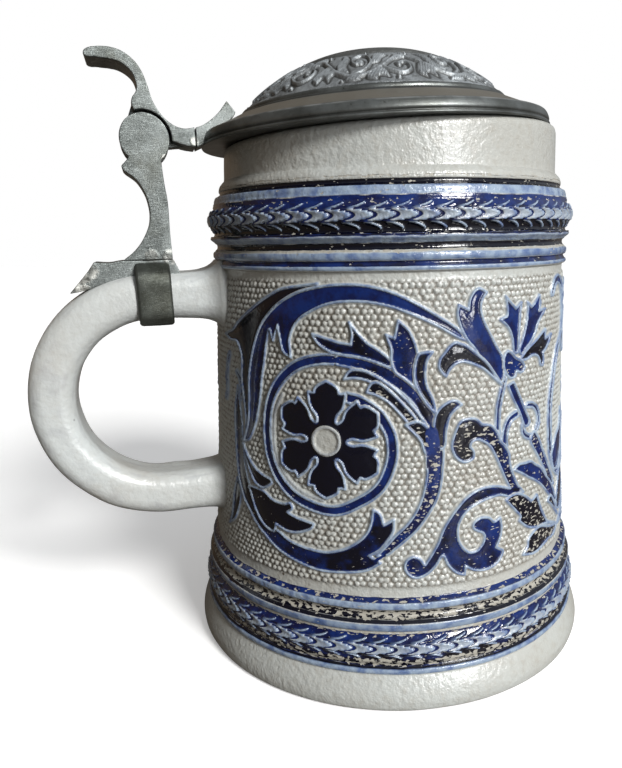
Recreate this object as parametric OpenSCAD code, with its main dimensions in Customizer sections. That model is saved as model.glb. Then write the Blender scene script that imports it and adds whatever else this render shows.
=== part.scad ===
// Half-litre salt-glazed stoneware beer stein with a hinged pewter lid.
// Millimetres, +Z up. The origin is the centre of the flat base. The handle points to -X
// and the lid turns about a pin parallel to Y.

/* [Mug body] */
// outer radius of the rolled foot
foot_r = 52.3; // [48:0.1:58]
// radius of the ground of the panel at its bottom edge
panel_bottom_r = 46.5; // [42:0.1:52]
// radius of the ground of the panel at its top edge
panel_top_r = 42.3; // [38:0.1:48]
// height of the bottom edge of the panel
panel_bottom_z = 26.5; // [20:0.5:34]
// height of the top edge of the panel
panel_top_z = 92.5; // [84:0.5:100]
// outer radius of the plain neck below the mouth
neck_r = 39.4; // [35:0.1:45]
// outer radius of the neck at the mouth
mouth_r = 38.9; // [34:0.1:45]
// height of the mouth at the axis
mouth_z = 121.5; // [110:0.5:135]
// slope of the mouth down towards the handle, from warping in the kiln
mouth_tilt = 2.4; // [0:0.1:4]
// inner radius at the mouth
bore_top_r = 35.2; // [30:0.1:40]
// inner radius above the floor
bore_bottom_r = 41; // [35:0.1:46]
// thickness of the floor
floor_t = 8; // [5:0.5:14]

/* [Handle] */
// x of the centre of the handle's round back
handle_x = -58.4; // [-66:0.1:-52]
// z of the centre of the handle's round back
handle_z = 63.8; // [55:0.1:72]
// radius of the handle's centre line
handle_bend_r = 23.8; // [20:0.1:30]
// thickness of the handle in its own plane
handle_t = 10.6; // [8:0.1:14]
// width of the handle
handle_w = 14; // [10:0.5:22]
// rounding of the handle's long edges
handle_edge_r = 4; // [2:0.1:5]

/* [Hinge] */
// x of the hinge pin
pin_x = -56.4; // [-62:0.1:-50]
// z of the hinge pin
pin_z = 120.6; // [112:0.1:128]
// radius of the hinge pin
pin_r = 1.5; // [1:0.05:2.5]
// radial running clearance of the middle knuckle on the pin
pin_clearance = 0.05; // [0.01:0.01:0.1]
// radius of the two outer knuckles
lug_r = 5.2; // [4:0.1:7]
// overall width of the hinge, the shank and the thumblift
hinge_w = 9; // [7:0.1:14]
// width of the slot between the outer knuckles
slot_w = 3.8; // [2.6:0.1:6]
// side clearance between the middle knuckle and each outer one
side_gap = 0.2; // [0.1:0.05:0.4]
// gap between the outer knuckles and the saddle of the lever
saddle_gap = 0.3; // [0.3:0.05:0.6]
// radius of the soldered plugs over the ends of the pin
cap_r = 2.4; // [1.8:0.1:3.4]
// thickness of the plugs
cap_t = 0.8; // [0.4:0.1:1.2]
// opening angle at which the heel of the lever stands by the spur
lid_open = 115; // [90:1:120]

/* [Strap] */
// x of the middle of the strap around the handle
strap_x = -57.4; // [-62:0.1:-52]
// width of the strap along the handle
strap_w = 7.6; // [5:0.1:12]
// thickness of the strap
strap_t = 1.1; // [0.8:0.1:2]
// height of the solder seam between the tang and the shank
seam_z = 95.6; // [94:0.1:98]

/* [Lid] */
// how far the lid sits off the mug's axis towards the hinge
lid_shift = 3.5; // [0:0.1:5]
// outer radius of the lid
lid_r = 40.6; // [37:0.1:46]
// outer radius of the locating flange inside the mouth
flange_r = 31; // [28:0.1:34]
// depth of the locating flange
flange_h = 2.6; // [1.5:0.1:5]
// inner radius of the locating flange
flange_bore_r = 28.6; // [26:0.1:31]
// radius of the dome at its base
dome_base_r = 30; // [26:0.1:34]
// height of the top of the dome above the mouth
dome_top = 18.8; // [14:0.1:26]
// spherical radius of the dome
dome_sphere_r = 44.9; // [34:0.1:60]
// wall thickness of the dome
dome_t = 1.8; // [1.2:0.1:3]
// width of the tongue that joins the lever to the lid
tongue_w = 8; // [5:0.1:12]

/* [Hidden] */
reach = 200;
round_fn = 128;
small_fn = 64;
knuckle_r = lug_r - saddle_gap;
saddle_r = lug_r + saddle_gap;
knuckle_w = slot_w - 2 * side_gap;
seam_x = -45.6;
ledge_z = 6.2;
panel_sag = 0.4;
handle_end_x = -36;
flare_x = -50;
STONE = [0.72, 0.71, 0.68];
PEWTER = [0.33, 0.35, 0.35];
STEEL = [0.55, 0.55, 0.56];

// Outer profile of the mug from the foot to above the mouth, as [radius, height] points:
// rolled foot, thin ridge, lower leaf band, two ridges, panel, bead pair, groove, ridge,
// upper leaf band, two beads, plain neck that narrows a little to the mouth.
FOOT = [[0, 0], [foot_r - 1.5, 0], [foot_r - 0.4, 0.5], [foot_r, 1.6], [foot_r - 0.1, 3.2],
        [foot_r - 0.7, 5.2], [foot_r - 1.7, 7.2], [foot_r - 2.3, 8.2]];
LOWER_BAND = [[50.2, 8.6], [50.3, 9.2], [50, 9.8], [49.5, 10.2], [50.1, 11.8], [50.3, 13.6],
              [49.9, 15.6], [48.9, 17.4], [48.5, 17.9], [49, 18.6], [49.2, 19.6], [48.9, 20.5],
              [47.6, 21.2], [47.5, 22.2], [48, 23], [48.1, 23.8], [47.9, 24.5], [47, 25.1]];
PANEL = [for (i = [0 : 6])
         [panel_bottom_r + (panel_top_r - panel_bottom_r) * i / 6 - panel_sag * sin(30 * i),
          panel_bottom_z + (panel_top_z - panel_bottom_z) * i / 6]];
UPPER_BAND = [[42.8, 93.2], [43, 94], [42.7, 94.7], [42.5, 95], [42.9, 95.7], [42.9, 96.5],
              [42.5, 97.1], [42.1, 97.8], [42.3, 98.8], [43.3, 99.7], [43.4, 100.3], [42.8, 101],
              [43.4, 102.4], [43.7, 104], [43.4, 105.6], [42.5, 107], [42, 107.6], [41.9, 108.2],
              [41.5, 109.1], [40.7, 109.7], [40.8, 110.5], [40.5, 111.5], [39.8, 112.3],
              [neck_r, 112.8]];
NECK = [[mouth_r, 121], [mouth_r, 130], [0, 130]];

// ---------- placing ----------

// puts children in the lid's frame: its origin is the lid's centre on the plane of the mouth
module on_mouth() {
    translate([-lid_shift, 0, mouth_z - lid_shift * tan(mouth_tilt)])
        rotate([0, -mouth_tilt, 0])
            children();
}

// extrudes an X-Z outline along Y, centred on the plane of the handle
module slab(width) {
    rotate([90, 0, 0])
        linear_extrude(height = width, center = true)
            children();
}

// a round bar along Y through the hinge axis, its middle at the given y
module hinge_disc(radius, width, y = 0) {
    translate([pin_x, y, pin_z])
        rotate([90, 0, 0])
            cylinder(r = radius, h = width, center = true, $fn = small_fn);
}

// ---------- mug body ----------

module mug_outside() {
    rotate_extrude($fn = round_fn)
        polygon(concat(FOOT, LOWER_BAND, PANEL, UPPER_BAND, NECK));
}

module mug_cavity() {
    rotate_extrude($fn = round_fn)
        polygon([[0, floor_t], [bore_bottom_r - 6, floor_t], [bore_bottom_r - 2.4, floor_t + 1.6],
                 [bore_bottom_r - 0.6, floor_t + 4.4], [bore_bottom_r, floor_t + 8],
                 [bore_top_r, mouth_z + 4], [0, mouth_z + 4]]);
}

module above_mouth() {
    on_mouth()
        translate([-reach / 2, -reach / 2, 0])
            cube([reach, reach, 20]);
}

module stoneware_body() {
    color(STONE)
        difference() {
            mug_outside();
            mug_cavity();
            above_mouth();
        }
}

// ---------- handle ----------

// cross-section of the handle: a flat bar with rounded long edges
module handle_section() {
    square([handle_t - 2 * handle_edge_r, handle_w], center = true);
    square([handle_t, handle_w - 2 * handle_edge_r], center = true);
    for (side = [-1, 1])
        for (end = [-1, 1])
            translate([side * (handle_t / 2 - handle_edge_r), end * (handle_w / 2 - handle_edge_r)])
                circle(r = handle_edge_r, $fn = small_fn);
}

module handle_bend() {
    translate([handle_x, 0, handle_z])
        rotate([90, 0, 0])
            rotate([0, 0, 90])
                rotate_extrude(angle = 180, $fn = round_fn)
                    translate([handle_bend_r, 0])
                        handle_section();
}

// one straight arm of the handle, running to the wall of the mug and swelling as it meets it
module handle_arm(z) {
    translate([handle_x, 0, z])
        rotate([0, 90, 0])
            linear_extrude(height = handle_end_x - handle_x)
                handle_section();
    translate([flare_x, 0, z])
        rotate([0, 90, 0])
            cylinder(r1 = handle_t / 2 - 0.4, r2 = handle_t / 2 + 4.6, h = handle_end_x - flare_x,
                     $fn = small_fn);
}

module handle_bar() {
    handle_bend();
    handle_arm(handle_z + handle_bend_r);
    handle_arm(handle_z - handle_bend_r);
}

module handle() {
    color(STONE)
        difference() {
            handle_bar();
            mug_outside();
        }
}

// ---------- strap, tang and shank ----------

// the foot that lies along the top of the handle; its tail is snapped off short
module tang_blank() {
    slab(hinge_w)
        polygon([[-50.9, 91], [-51.6, 93.4], [-52.6, seam_z], [-63.4, seam_z], [-66.6, 95.2],
                 [-69.6, 95.4], [-71.4, 93.1], [-75.4, 88.8], [-71.6, 89.5], [-68, 90.6],
                 [-64, 91], [-58, 91]]);
}

module strap_tang() {
    color(PEWTER)
        difference() {
            tang_blank();
            handle_bar();
        }
}

// a closed band cast around the handle and the tang
module handle_strap() {
    half_y = handle_w / 2 + strap_t;
    low_z = handle_z + handle_bend_r - handle_t / 2 - strap_t;
    color(PEWTER)
        difference() {
            slab(2 * half_y)
                polygon([[strap_x - strap_w / 2 + 0.6, low_z], [strap_x + strap_w / 2 - 0.6, low_z],
                         [strap_x + strap_w / 2, low_z + 1.2], [strap_x + strap_w / 2, 94.6],
                         [strap_x - strap_w / 2, 94.6], [strap_x - strap_w / 2, low_z + 1.2]]);
            for (side = [-1, 1])
                translate([0, side * half_y, 0])
                    strap_corner_cuts();
            handle_bar();
            tang_blank();
        }
}

// slanted cuts that round the band over the handle's edges
module strap_corner_cuts() {
    for (z = [handle_z + handle_bend_r - handle_t / 2 - strap_t, 94.6])
        translate([strap_x, 0, z])
            rotate([45, 0, 0])
                cube([strap_w + 2, 3.2, 3.2], center = true);
}

// outline of the upright shank below the knuckles, with the spur that stops the lid
module shank_outline() {
    spur = 108 + lid_open + 1;
    polygon([[-52.7, seam_z], [-52.8, 101], [-52.7, 107.4], [-53.1, 111.8], [-53.4, 116.4],
             [pin_x, pin_z - 3],
             [pin_x + 4.9 * cos(spur), pin_z + 4.9 * sin(spur)],
             [pin_x + 7.6 * cos(spur), pin_z + 7.6 * sin(spur)],
             [-61.3, 114.2], [-59, 112.4], [-57.5, 109.8], [-56.9, 107.4], [-56.8, 105.2],
             [-57.3, 102.8], [-58.9, 99.8], [-61, 97.4], [-63.4, seam_z]]);
}

module hinge_shank() {
    color(PEWTER)
        difference() {
            union() {
                slab(hinge_w)
                    shank_outline();
                hinge_disc(lug_r, hinge_w);
            }
            hinge_disc(saddle_r, slot_w);
            hinge_disc(pin_r, hinge_w + 2);
            for (side = [-1, 1])
                hinge_disc(cap_r, 2 * cap_t, side * hinge_w / 2);
        }
}

module hinge_pin() {
    color(STEEL)
        hinge_disc(pin_r, hinge_w - 2 * cap_t);
}

module hinge_cap(side) {
    color(PEWTER)
        hinge_disc(cap_r, cap_t, side * (hinge_w - cap_t) / 2);
}

module hinge_cap_front() {
    hinge_cap(-1);
}

module hinge_cap_rear() {
    hinge_cap(1);
}

// ---------- thumb lever ----------

// outline of the lever: curled thumblift, saddle over the knuckles and arm to the lid
module lever_outline() {
    heel = 108;
    polygon([[pin_x, pin_z],
             [pin_x + 5.6 * cos(heel), pin_z + 5.6 * sin(heel)],
             [pin_x + 7.2 * cos(heel), pin_z + 7.2 * sin(heel)],
             [-58.1, 128.6], [-57.2, 129.8], [-57.1, 131.4], [-57.7, 133.2], [-59.2, 134.6],
             [-61.2, 135.4], [-64.5, 135.7], [-66, 135.7], [-66.8, 136.1], [-66.7, 136.8],
             [-66.1, 137.3], [-64.7, 137.7], [-61.8, 137.8], [-59.2, 137.1], [-57, 135.5],
             [-55.7, 133.6], [-54.8, 131], [-54, 128], [-52.6, 125.6], [-51, 124],
             [-49.4, 123.1], [-47.6, 122.8], [seam_x, 123.1], [seam_x, 119.1], [-48, 119.4],
             [pin_x + 5.6, pin_z - 0.4]]);
}

module thumb_lever() {
    color(PEWTER)
        difference() {
            union() {
                difference() {
                    slab(hinge_w)
                        lever_outline();
                    hinge_disc(saddle_r, hinge_w + 2);
                }
                slab(knuckle_w)
                    lever_outline();
                hinge_disc(knuckle_r, knuckle_w);
            }
            hinge_disc(pin_r + pin_clearance, hinge_w + 2);
        }
}

// ---------- lid ----------

// tapered tongue soldered to the lever at one end and to the edge of the lid at the other
module lid_tongue() {
    color(PEWTER)
        difference() {
            slab(tongue_w)
                polygon([[seam_x, 119.1], [seam_x, 123.1], [-43.8, 123.7], [-41.9, 124.9],
                         [-40.2, 126.4], [-38.4, 128.6], [-36.6, 126.4], [-37.4, 125.2],
                         [-41.4, 122], [-43, 120.3]]);
            lid_ring_blank();
        }
}

module lid_ring_blank() {
    on_mouth()
        rotate_extrude($fn = round_fn)
            polygon([[flange_bore_r, -flange_h], [flange_r, -flange_h], [flange_r, 0],
                     [lid_r - 0.4, 0], [lid_r, 0.3], [lid_r - 0.4, 0.7], [lid_r - 0.2, 1.2],
                     [lid_r - 0.6, 2.2], [lid_r - 1, 2.8], [lid_r - 1.7, 3.1],
                     [lid_r - 8.4, 5.9], [31.2, 6.5], [31, 7.1], [30.4, 7.3], [dome_base_r, 7.3],
                     [dome_base_r, ledge_z], [flange_bore_r, ledge_z]]);
}

module lid_ring() {
    color(PEWTER)
        lid_ring_blank();
}

module lid_dome() {
    color(PEWTER)
        on_mouth()
            difference() {
                intersection() {
                    translate([0, 0, dome_top - dome_sphere_r])
                        sphere(r = dome_sphere_r, $fn = round_fn);
                    translate([0, 0, ledge_z])
                        cylinder(r = dome_base_r, h = 20, $fn = round_fn);
                }
                translate([0, 0, dome_top - dome_sphere_r])
                    sphere(r = dome_sphere_r - dome_t, $fn = round_fn);
            }
}

stoneware_body();
handle();
strap_tang();
handle_strap();
hinge_shank();
hinge_pin();
hinge_cap_front();
hinge_cap_rear();
thumb_lever();
lid_tongue();
lid_ring();
lid_dome();
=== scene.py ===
"""Half-litre salt-glazed stoneware stein with a cobalt relief panel and a hinged pewter lid.

Lengths are in millimetres until a mesh is made. The mug's ornament is drawn on its unrolled wall:
s runs around the mug from the handle (s = 0) past the front, z runs up the axis.
"""

import math

import bpy
import numpy as np
from mathutils import Matrix, Vector


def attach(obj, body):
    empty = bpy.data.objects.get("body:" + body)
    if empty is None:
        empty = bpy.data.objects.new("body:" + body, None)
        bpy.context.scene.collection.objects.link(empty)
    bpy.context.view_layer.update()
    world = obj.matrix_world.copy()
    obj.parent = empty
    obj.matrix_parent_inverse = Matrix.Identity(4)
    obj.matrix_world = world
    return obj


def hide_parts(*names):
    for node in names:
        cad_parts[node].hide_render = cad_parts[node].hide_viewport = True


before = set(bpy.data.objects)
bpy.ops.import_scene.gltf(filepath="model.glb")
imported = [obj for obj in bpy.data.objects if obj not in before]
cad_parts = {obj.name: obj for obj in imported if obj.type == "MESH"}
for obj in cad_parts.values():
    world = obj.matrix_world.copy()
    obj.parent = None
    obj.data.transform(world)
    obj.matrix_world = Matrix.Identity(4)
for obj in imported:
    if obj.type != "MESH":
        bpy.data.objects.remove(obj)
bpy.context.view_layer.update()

MM = 0.001
SEED = 7

# ---------- sizes, nearly all shared with the CAD ----------

MOUTH_Z = 121.5
MOUTH_TILT = math.radians(2.4)
NECK_Z = 112.8
LID_SHIFT = 3.5
PIN_X, PIN_Z = -56.4, 120.6
HINGE_W = 9.0
SLOT_W = 3.8
KNUCKLE_W = 3.4
LUG_R = 5.2
KNUCKLE_R = 4.9
SADDLE_R = 5.55
LEVER_SADDLE_R = 5.7
# the two stop faces stand a little further apart than in the CAD
HEEL_R, HEEL_ANGLE = 7.2, 106.5
SPUR_R, SPUR_ANGLE = 7.6, 225.5
HANDLE_X, HANDLE_Z, HANDLE_BEND_R = -58.4, 63.8, 23.8
HANDLE_T, HANDLE_W, HANDLE_EDGE_R = 10.6, 14.0, 4.0
HANDLE_ROOT_X = 40.5
RELIEF_LIMIT_R = 52.28
DOME_R = 30.0
DOME_SPHERE_R, DOME_TOP = 44.9, 18.8
DOME_THICK = 1.8
DOME_SEAT_Z = 6.25

# ---------- how finely the meshes are built ----------

GRID_STEP = 0.27
LIP_STEP = 0.35
CAVITY_STEP = 2.4
MUG_COLUMNS = 1024
OUTLINE_STEP = 0.4
CASTING_GRAIN = 0.16
CASTING_SMOOTHING = 5
RING_COLUMNS = 360
DOME_COLUMNS = 800
CAP_COLUMNS = 48

# ---------- the mug's outline as (radius, height), and where its relief panel lies ----------

MUG_PROFILE = [
    (50.8, 0), (51.9, 0.5), (52.25, 1.6), (52.2, 3.2), (51.6, 5.2), (50.6, 7.2), (50, 8.2),
    (50.2, 8.6), (50.3, 9.2), (50, 9.8), (49.5, 10.2), (50.1, 11.8), (50.3, 13.6), (49.9, 15.6),
    (48.9, 17.4), (48.5, 17.9), (49, 18.6), (49.2, 19.6), (48.9, 20.5), (47.6, 21.2),
    (47.5, 22.2), (48, 23), (48.1, 23.8), (47.9, 24.5), (47, 25.1), (46.5, 26.5), (45.6, 37.5),
    (44.75, 48.5), (44, 59.5), (43.35, 70.5), (42.8, 81.5), (42.3, 92.5), (42.8, 93.2),
    (43, 94), (42.7, 94.7), (42.5, 95), (42.9, 95.7), (42.9, 96.5), (42.5, 97.1), (42.1, 97.8),
    (42.3, 98.8), (43.3, 99.7), (43.4, 100.3), (42.8, 101), (43.4, 102.4), (43.7, 104),
    (43.4, 105.6), (42.5, 107), (42, 107.6), (41.9, 108.2), (41.5, 109.1), (40.7, 109.7),
    (40.8, 110.5), (40.5, 111.5), (39.8, 112.3), (39.4, 112.8), (39.2, 116), (38.95, 120.0),
]
LIP_PROFILE = [
    (38.95, 120.0), (38.6, 120.9), (37.8, 121.4), (36.8, 121.5), (35.8, 121.2), (35.45, 120.2),
]
CAVITY_PROFILE = [
    (35.45, 120.2), (36.5, 100), (38, 72), (39.5, 44), (41, 16), (40.4, 12.4), (38.6, 9.6),
    (35, 8), (20, 8), (2, 8),
]
UNDERSIDE_PROFILE = [(2, 0.25), (20, 0.2), (44, 0.2), (47, 0.05), (50.0, 0.0)]
PANEL_Z = (26.9, 91.9)
UNROLL_R = 44.5
FRONT_S = math.pi * UNROLL_R

# ---------- ornament: a point written twice in a row is a sharp corner ----------

ROSETTE_CENTRE = (41.7, 59.2)
MEDALLION_CENTRE = (FRONT_S, 60)
# one edge of a petal as (radius, degrees from its middle), from the slot between petals to the tip
PETAL_EDGE = [
    (4.4, 30), (4.5, 26.5), (5, 23.5), (5.8, 22.5), (6.6, 24.5), (7.4, 26.3), (8.4, 26.2),
    (9.5, 24.6), (10.9, 22.5), (10.9, 22.5),
    (10.5, 18.5), (10.4, 15), (10.4, 15), (11.2, 13), (11.8, 8), (12.5, 0), (12.5, 0),
]

# each leaf: (blackness of its glaze, share of the glaze worn away, outline)
OUTER_LEAVES = [
    # broad leaf behind the arch, beside the handle
    (0.95, 0.0, [(40, 91), (40, 91), (35, 90.4), (31, 89.8), (28, 88.6), (24.7, 87), (19.2, 84),
                 (16.3, 82.3), (13.4, 80.3), (9, 79), (9, 79), (12, 78), (15.2, 78), (16.9, 76.6),
                 (17.8, 74), (17.5, 70), (18.5, 65), (19.3, 60), (18.2, 55.6), (18.2, 55.6),
                 (21.5, 60), (22.5, 70), (25, 79), (30, 85), (36, 88.5)]),
    # leaf hanging beside the handle
    (0.9, 0.0, [(15.2, 46), (15.2, 46), (13.8, 42), (13.2, 38), (12.4, 35), (11, 33), (11, 33),
                (14, 35.2), (15.8, 38), (17, 42.5)]),
    # left stem running into the lower crescent
    (0.55, 0.05, [(15.6, 68), (15.6, 68), (14.3, 62), (14.5, 55.3), (15.3, 49.5), (16.3, 45.8),
                  (18.4, 42), (20.5, 39.9), (23, 37.4), (25.9, 35.3), (30.1, 32.8), (35.1, 31.2),
                  (40.1, 30.3), (45.1, 30.5), (50, 31.3), (53.2, 33.2), (53.2, 33.2), (50.7, 34.7),
                  (50.7, 34.7), (53, 36.2), (54.6, 38.3), (55.7, 40.3), (55.9, 42.8), (55.9, 42.8),
                  (53.8, 41.6), (53.8, 41.6), (53, 44), (51.7, 44.9), (51.7, 44.9), (51.3, 42),
                  (50.5, 39.9), (49, 38), (46.5, 36.2), (44, 35.1), (41.3, 34.5), (37.2, 34.7),
                  (33, 35.5), (30.1, 37), (25.9, 38), (22.8, 41.4), (20.8, 45), (18.8, 50),
                  (17.9, 54), (17.5, 60)]),
    # upper leaf on the left stem
    (1.0, 0.0, [(17.6, 56), (18.6, 53.9), (20.5, 51.8), (22.6, 50.1), (24.9, 49.1), (27.6, 48.5),
                (27.9, 47.8), (27.9, 47.8), (26.3, 46.6), (24.9, 46.1), (23, 46.6), (21.4, 48.2),
                (19.8, 50.6), (18.2, 53.4)]),
    # lower leaf on the left stem
    (1.0, 0.03, [(20.5, 45.3), (25.3, 45.3), (28.4, 43.9), (31.3, 43.7), (33, 44.3), (33, 44.3),
                 (33.6, 43.2), (32.2, 42), (32.2, 42), (34.7, 41.2), (37.2, 40.8), (38.8, 40.5),
                 (38.8, 40.5), (38, 39.3), (35.1, 38), (32.2, 37.8), (29.2, 38.7), (29.2, 38.7),
                 (28.6, 36.8), (25.9, 37.4), (23.8, 39.3), (22.2, 41.6), (21.1, 44.1)]),
    # big arch
    (0.25, 0.0, [(20.1, 60), (20.5, 65), (20.5, 70), (21.3, 74), (22.4, 77.3), (24, 80.7),
                 (26.3, 83.6), (30.1, 86.7), (35, 89.1), (40, 90.3), (45, 90.8), (50, 90.6),
                 (55, 89.4), (60, 87.2), (65, 84.4), (69, 81.9), (71.3, 79.5), (71.3, 79.5),
                 (69, 80.4), (65, 82.6), (60, 84.9), (55, 86.7), (50, 87.6), (45, 87.6),
                 (41.3, 86.9), (38, 85.5), (35.5, 84), (33.8, 81.9), (33, 79.4), (33.4, 76.1),
                 (33.4, 76.1), (31.4, 77.2), (30.5, 80.3), (30, 82.6), (30, 82.6), (28.6, 79.2),
                 (28.6, 79.2), (27.8, 81.6), (27.4, 81.5), (26.3, 77.3), (25.7, 74), (24.9, 70.3),
                 (24.5, 67.3), (23.6, 63.2), (22.6, 60), (20.5, 56.6), (18.2, 55.5), (18.2, 55.5)]),
]
SPIRAL_LEAVES = [
    # right vertical stem
    (0.35, 0.34, [(61.4, 62.2), (61.9, 59.1), (62.5, 56.6), (62.8, 52.8), (62.3, 49.5),
                  (61.5, 46.6), (60.3, 44.1), (58.6, 41.6), (56.5, 39.5), (54.4, 37), (52.4, 34.8),
                  (52.4, 34.8), (54.6, 35.1), (56.1, 36.4), (58.2, 38.2), (60.7, 40.6), (62.9, 43.7),
                  (64.6, 46.6), (65.6, 49.9), (66, 53.7), (66.2, 57.8), (65.8, 62)]),
    # root of the acanthus bundle
    (0.45, 0.05, [(44, 77.3), (44, 77.3), (48, 77.1), (52.3, 75.9), (56.5, 73.6), (59.8, 70.7),
                  (62.3, 68.2), (64.2, 64.8), (64.4, 61), (62.6, 61.5), (60.7, 66.1), (57.8, 69.4),
                  (54.4, 71.9), (50.3, 74), (44, 75.2), (44, 75.2)]),
    # acanthus leaves
    (0.55, 0.05, [(38.6, 81.1), (38.6, 81.1), (40.9, 80.5), (44.3, 79.6), (47.1, 79.2),
                  (47.1, 79.2), (47.3, 81.5), (46.7, 83.6), (46.7, 83.6), (48.4, 81.5),
                  (50.3, 79.6), (52.6, 78.2), (55.2, 76.1), (56, 74.4), (56, 74.4), (51.5, 76.1),
                  (48.2, 76.9), (45.5, 77.2), (42.6, 77.8), (40.1, 79.2)]),
    (0.4, 0.12, [(55.4, 76), (55.3, 78.4), (54.2, 81.2), (54.2, 81.2), (56, 80.4), (56, 80.4),
                 (56.3, 82), (56.7, 83.9), (56.7, 83.9), (58.8, 81.9), (60, 79.4), (60.7, 76.9),
                 (60.9, 73.5), (61.6, 69.4), (61.6, 69.4), (58.4, 72.2), (56.2, 73.8)]),
    (0.65, 0.05, [(60.7, 76.9), (62, 77.5), (63.8, 77.6), (63.8, 77.6), (62.6, 76), (62.2, 73.2),
                  (62.6, 70.7), (63.8, 68.2), (64.6, 65), (64.6, 65), (62.4, 67.6), (60.6, 70.6),
                  (60, 73.6)]),
    (0.75, 0.12, [(45.5, 72.3), (45.5, 72.3), (46.9, 74), (49.4, 74.1), (52.3, 72.9), (55.7, 70.6),
                  (58.6, 67.9), (61, 65), (63.4, 61.5), (63.4, 61.5), (60.4, 64), (57.8, 66.6),
                  (55, 69.4), (52.4, 71.2), (50.3, 72.2), (47.8, 72.6)]),
    (0.85, 0.25, [(50.3, 69.8), (50.3, 69.8), (51.3, 71.5), (52.8, 71.6), (55.1, 69.9),
                  (57.6, 67.4), (60.1, 64.5), (62, 61), (62, 61), (59.4, 62.8), (56.9, 65.6),
                  (54.6, 67.9), (52.3, 69.2)]),
    # leaf and hook where the stem meets the ring
    (0.75, 0.25, [(58.2, 63), (58.2, 63), (60.7, 63.6), (62.3, 62.6), (63.4, 61.1), (64, 57),
                  (62.4, 57), (61.4, 59.6), (59.6, 61.7)]),
    (0.7, 0.1, [(63.8, 58), (64, 60.7), (64.2, 63.2), (64.8, 65.3), (66.5, 66.9), (68.6, 67.5),
                (70.2, 66.6), (70.2, 66.6), (68.6, 65.6), (67.3, 63.9), (66.7, 61.1), (66.3, 58)]),
]
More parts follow.
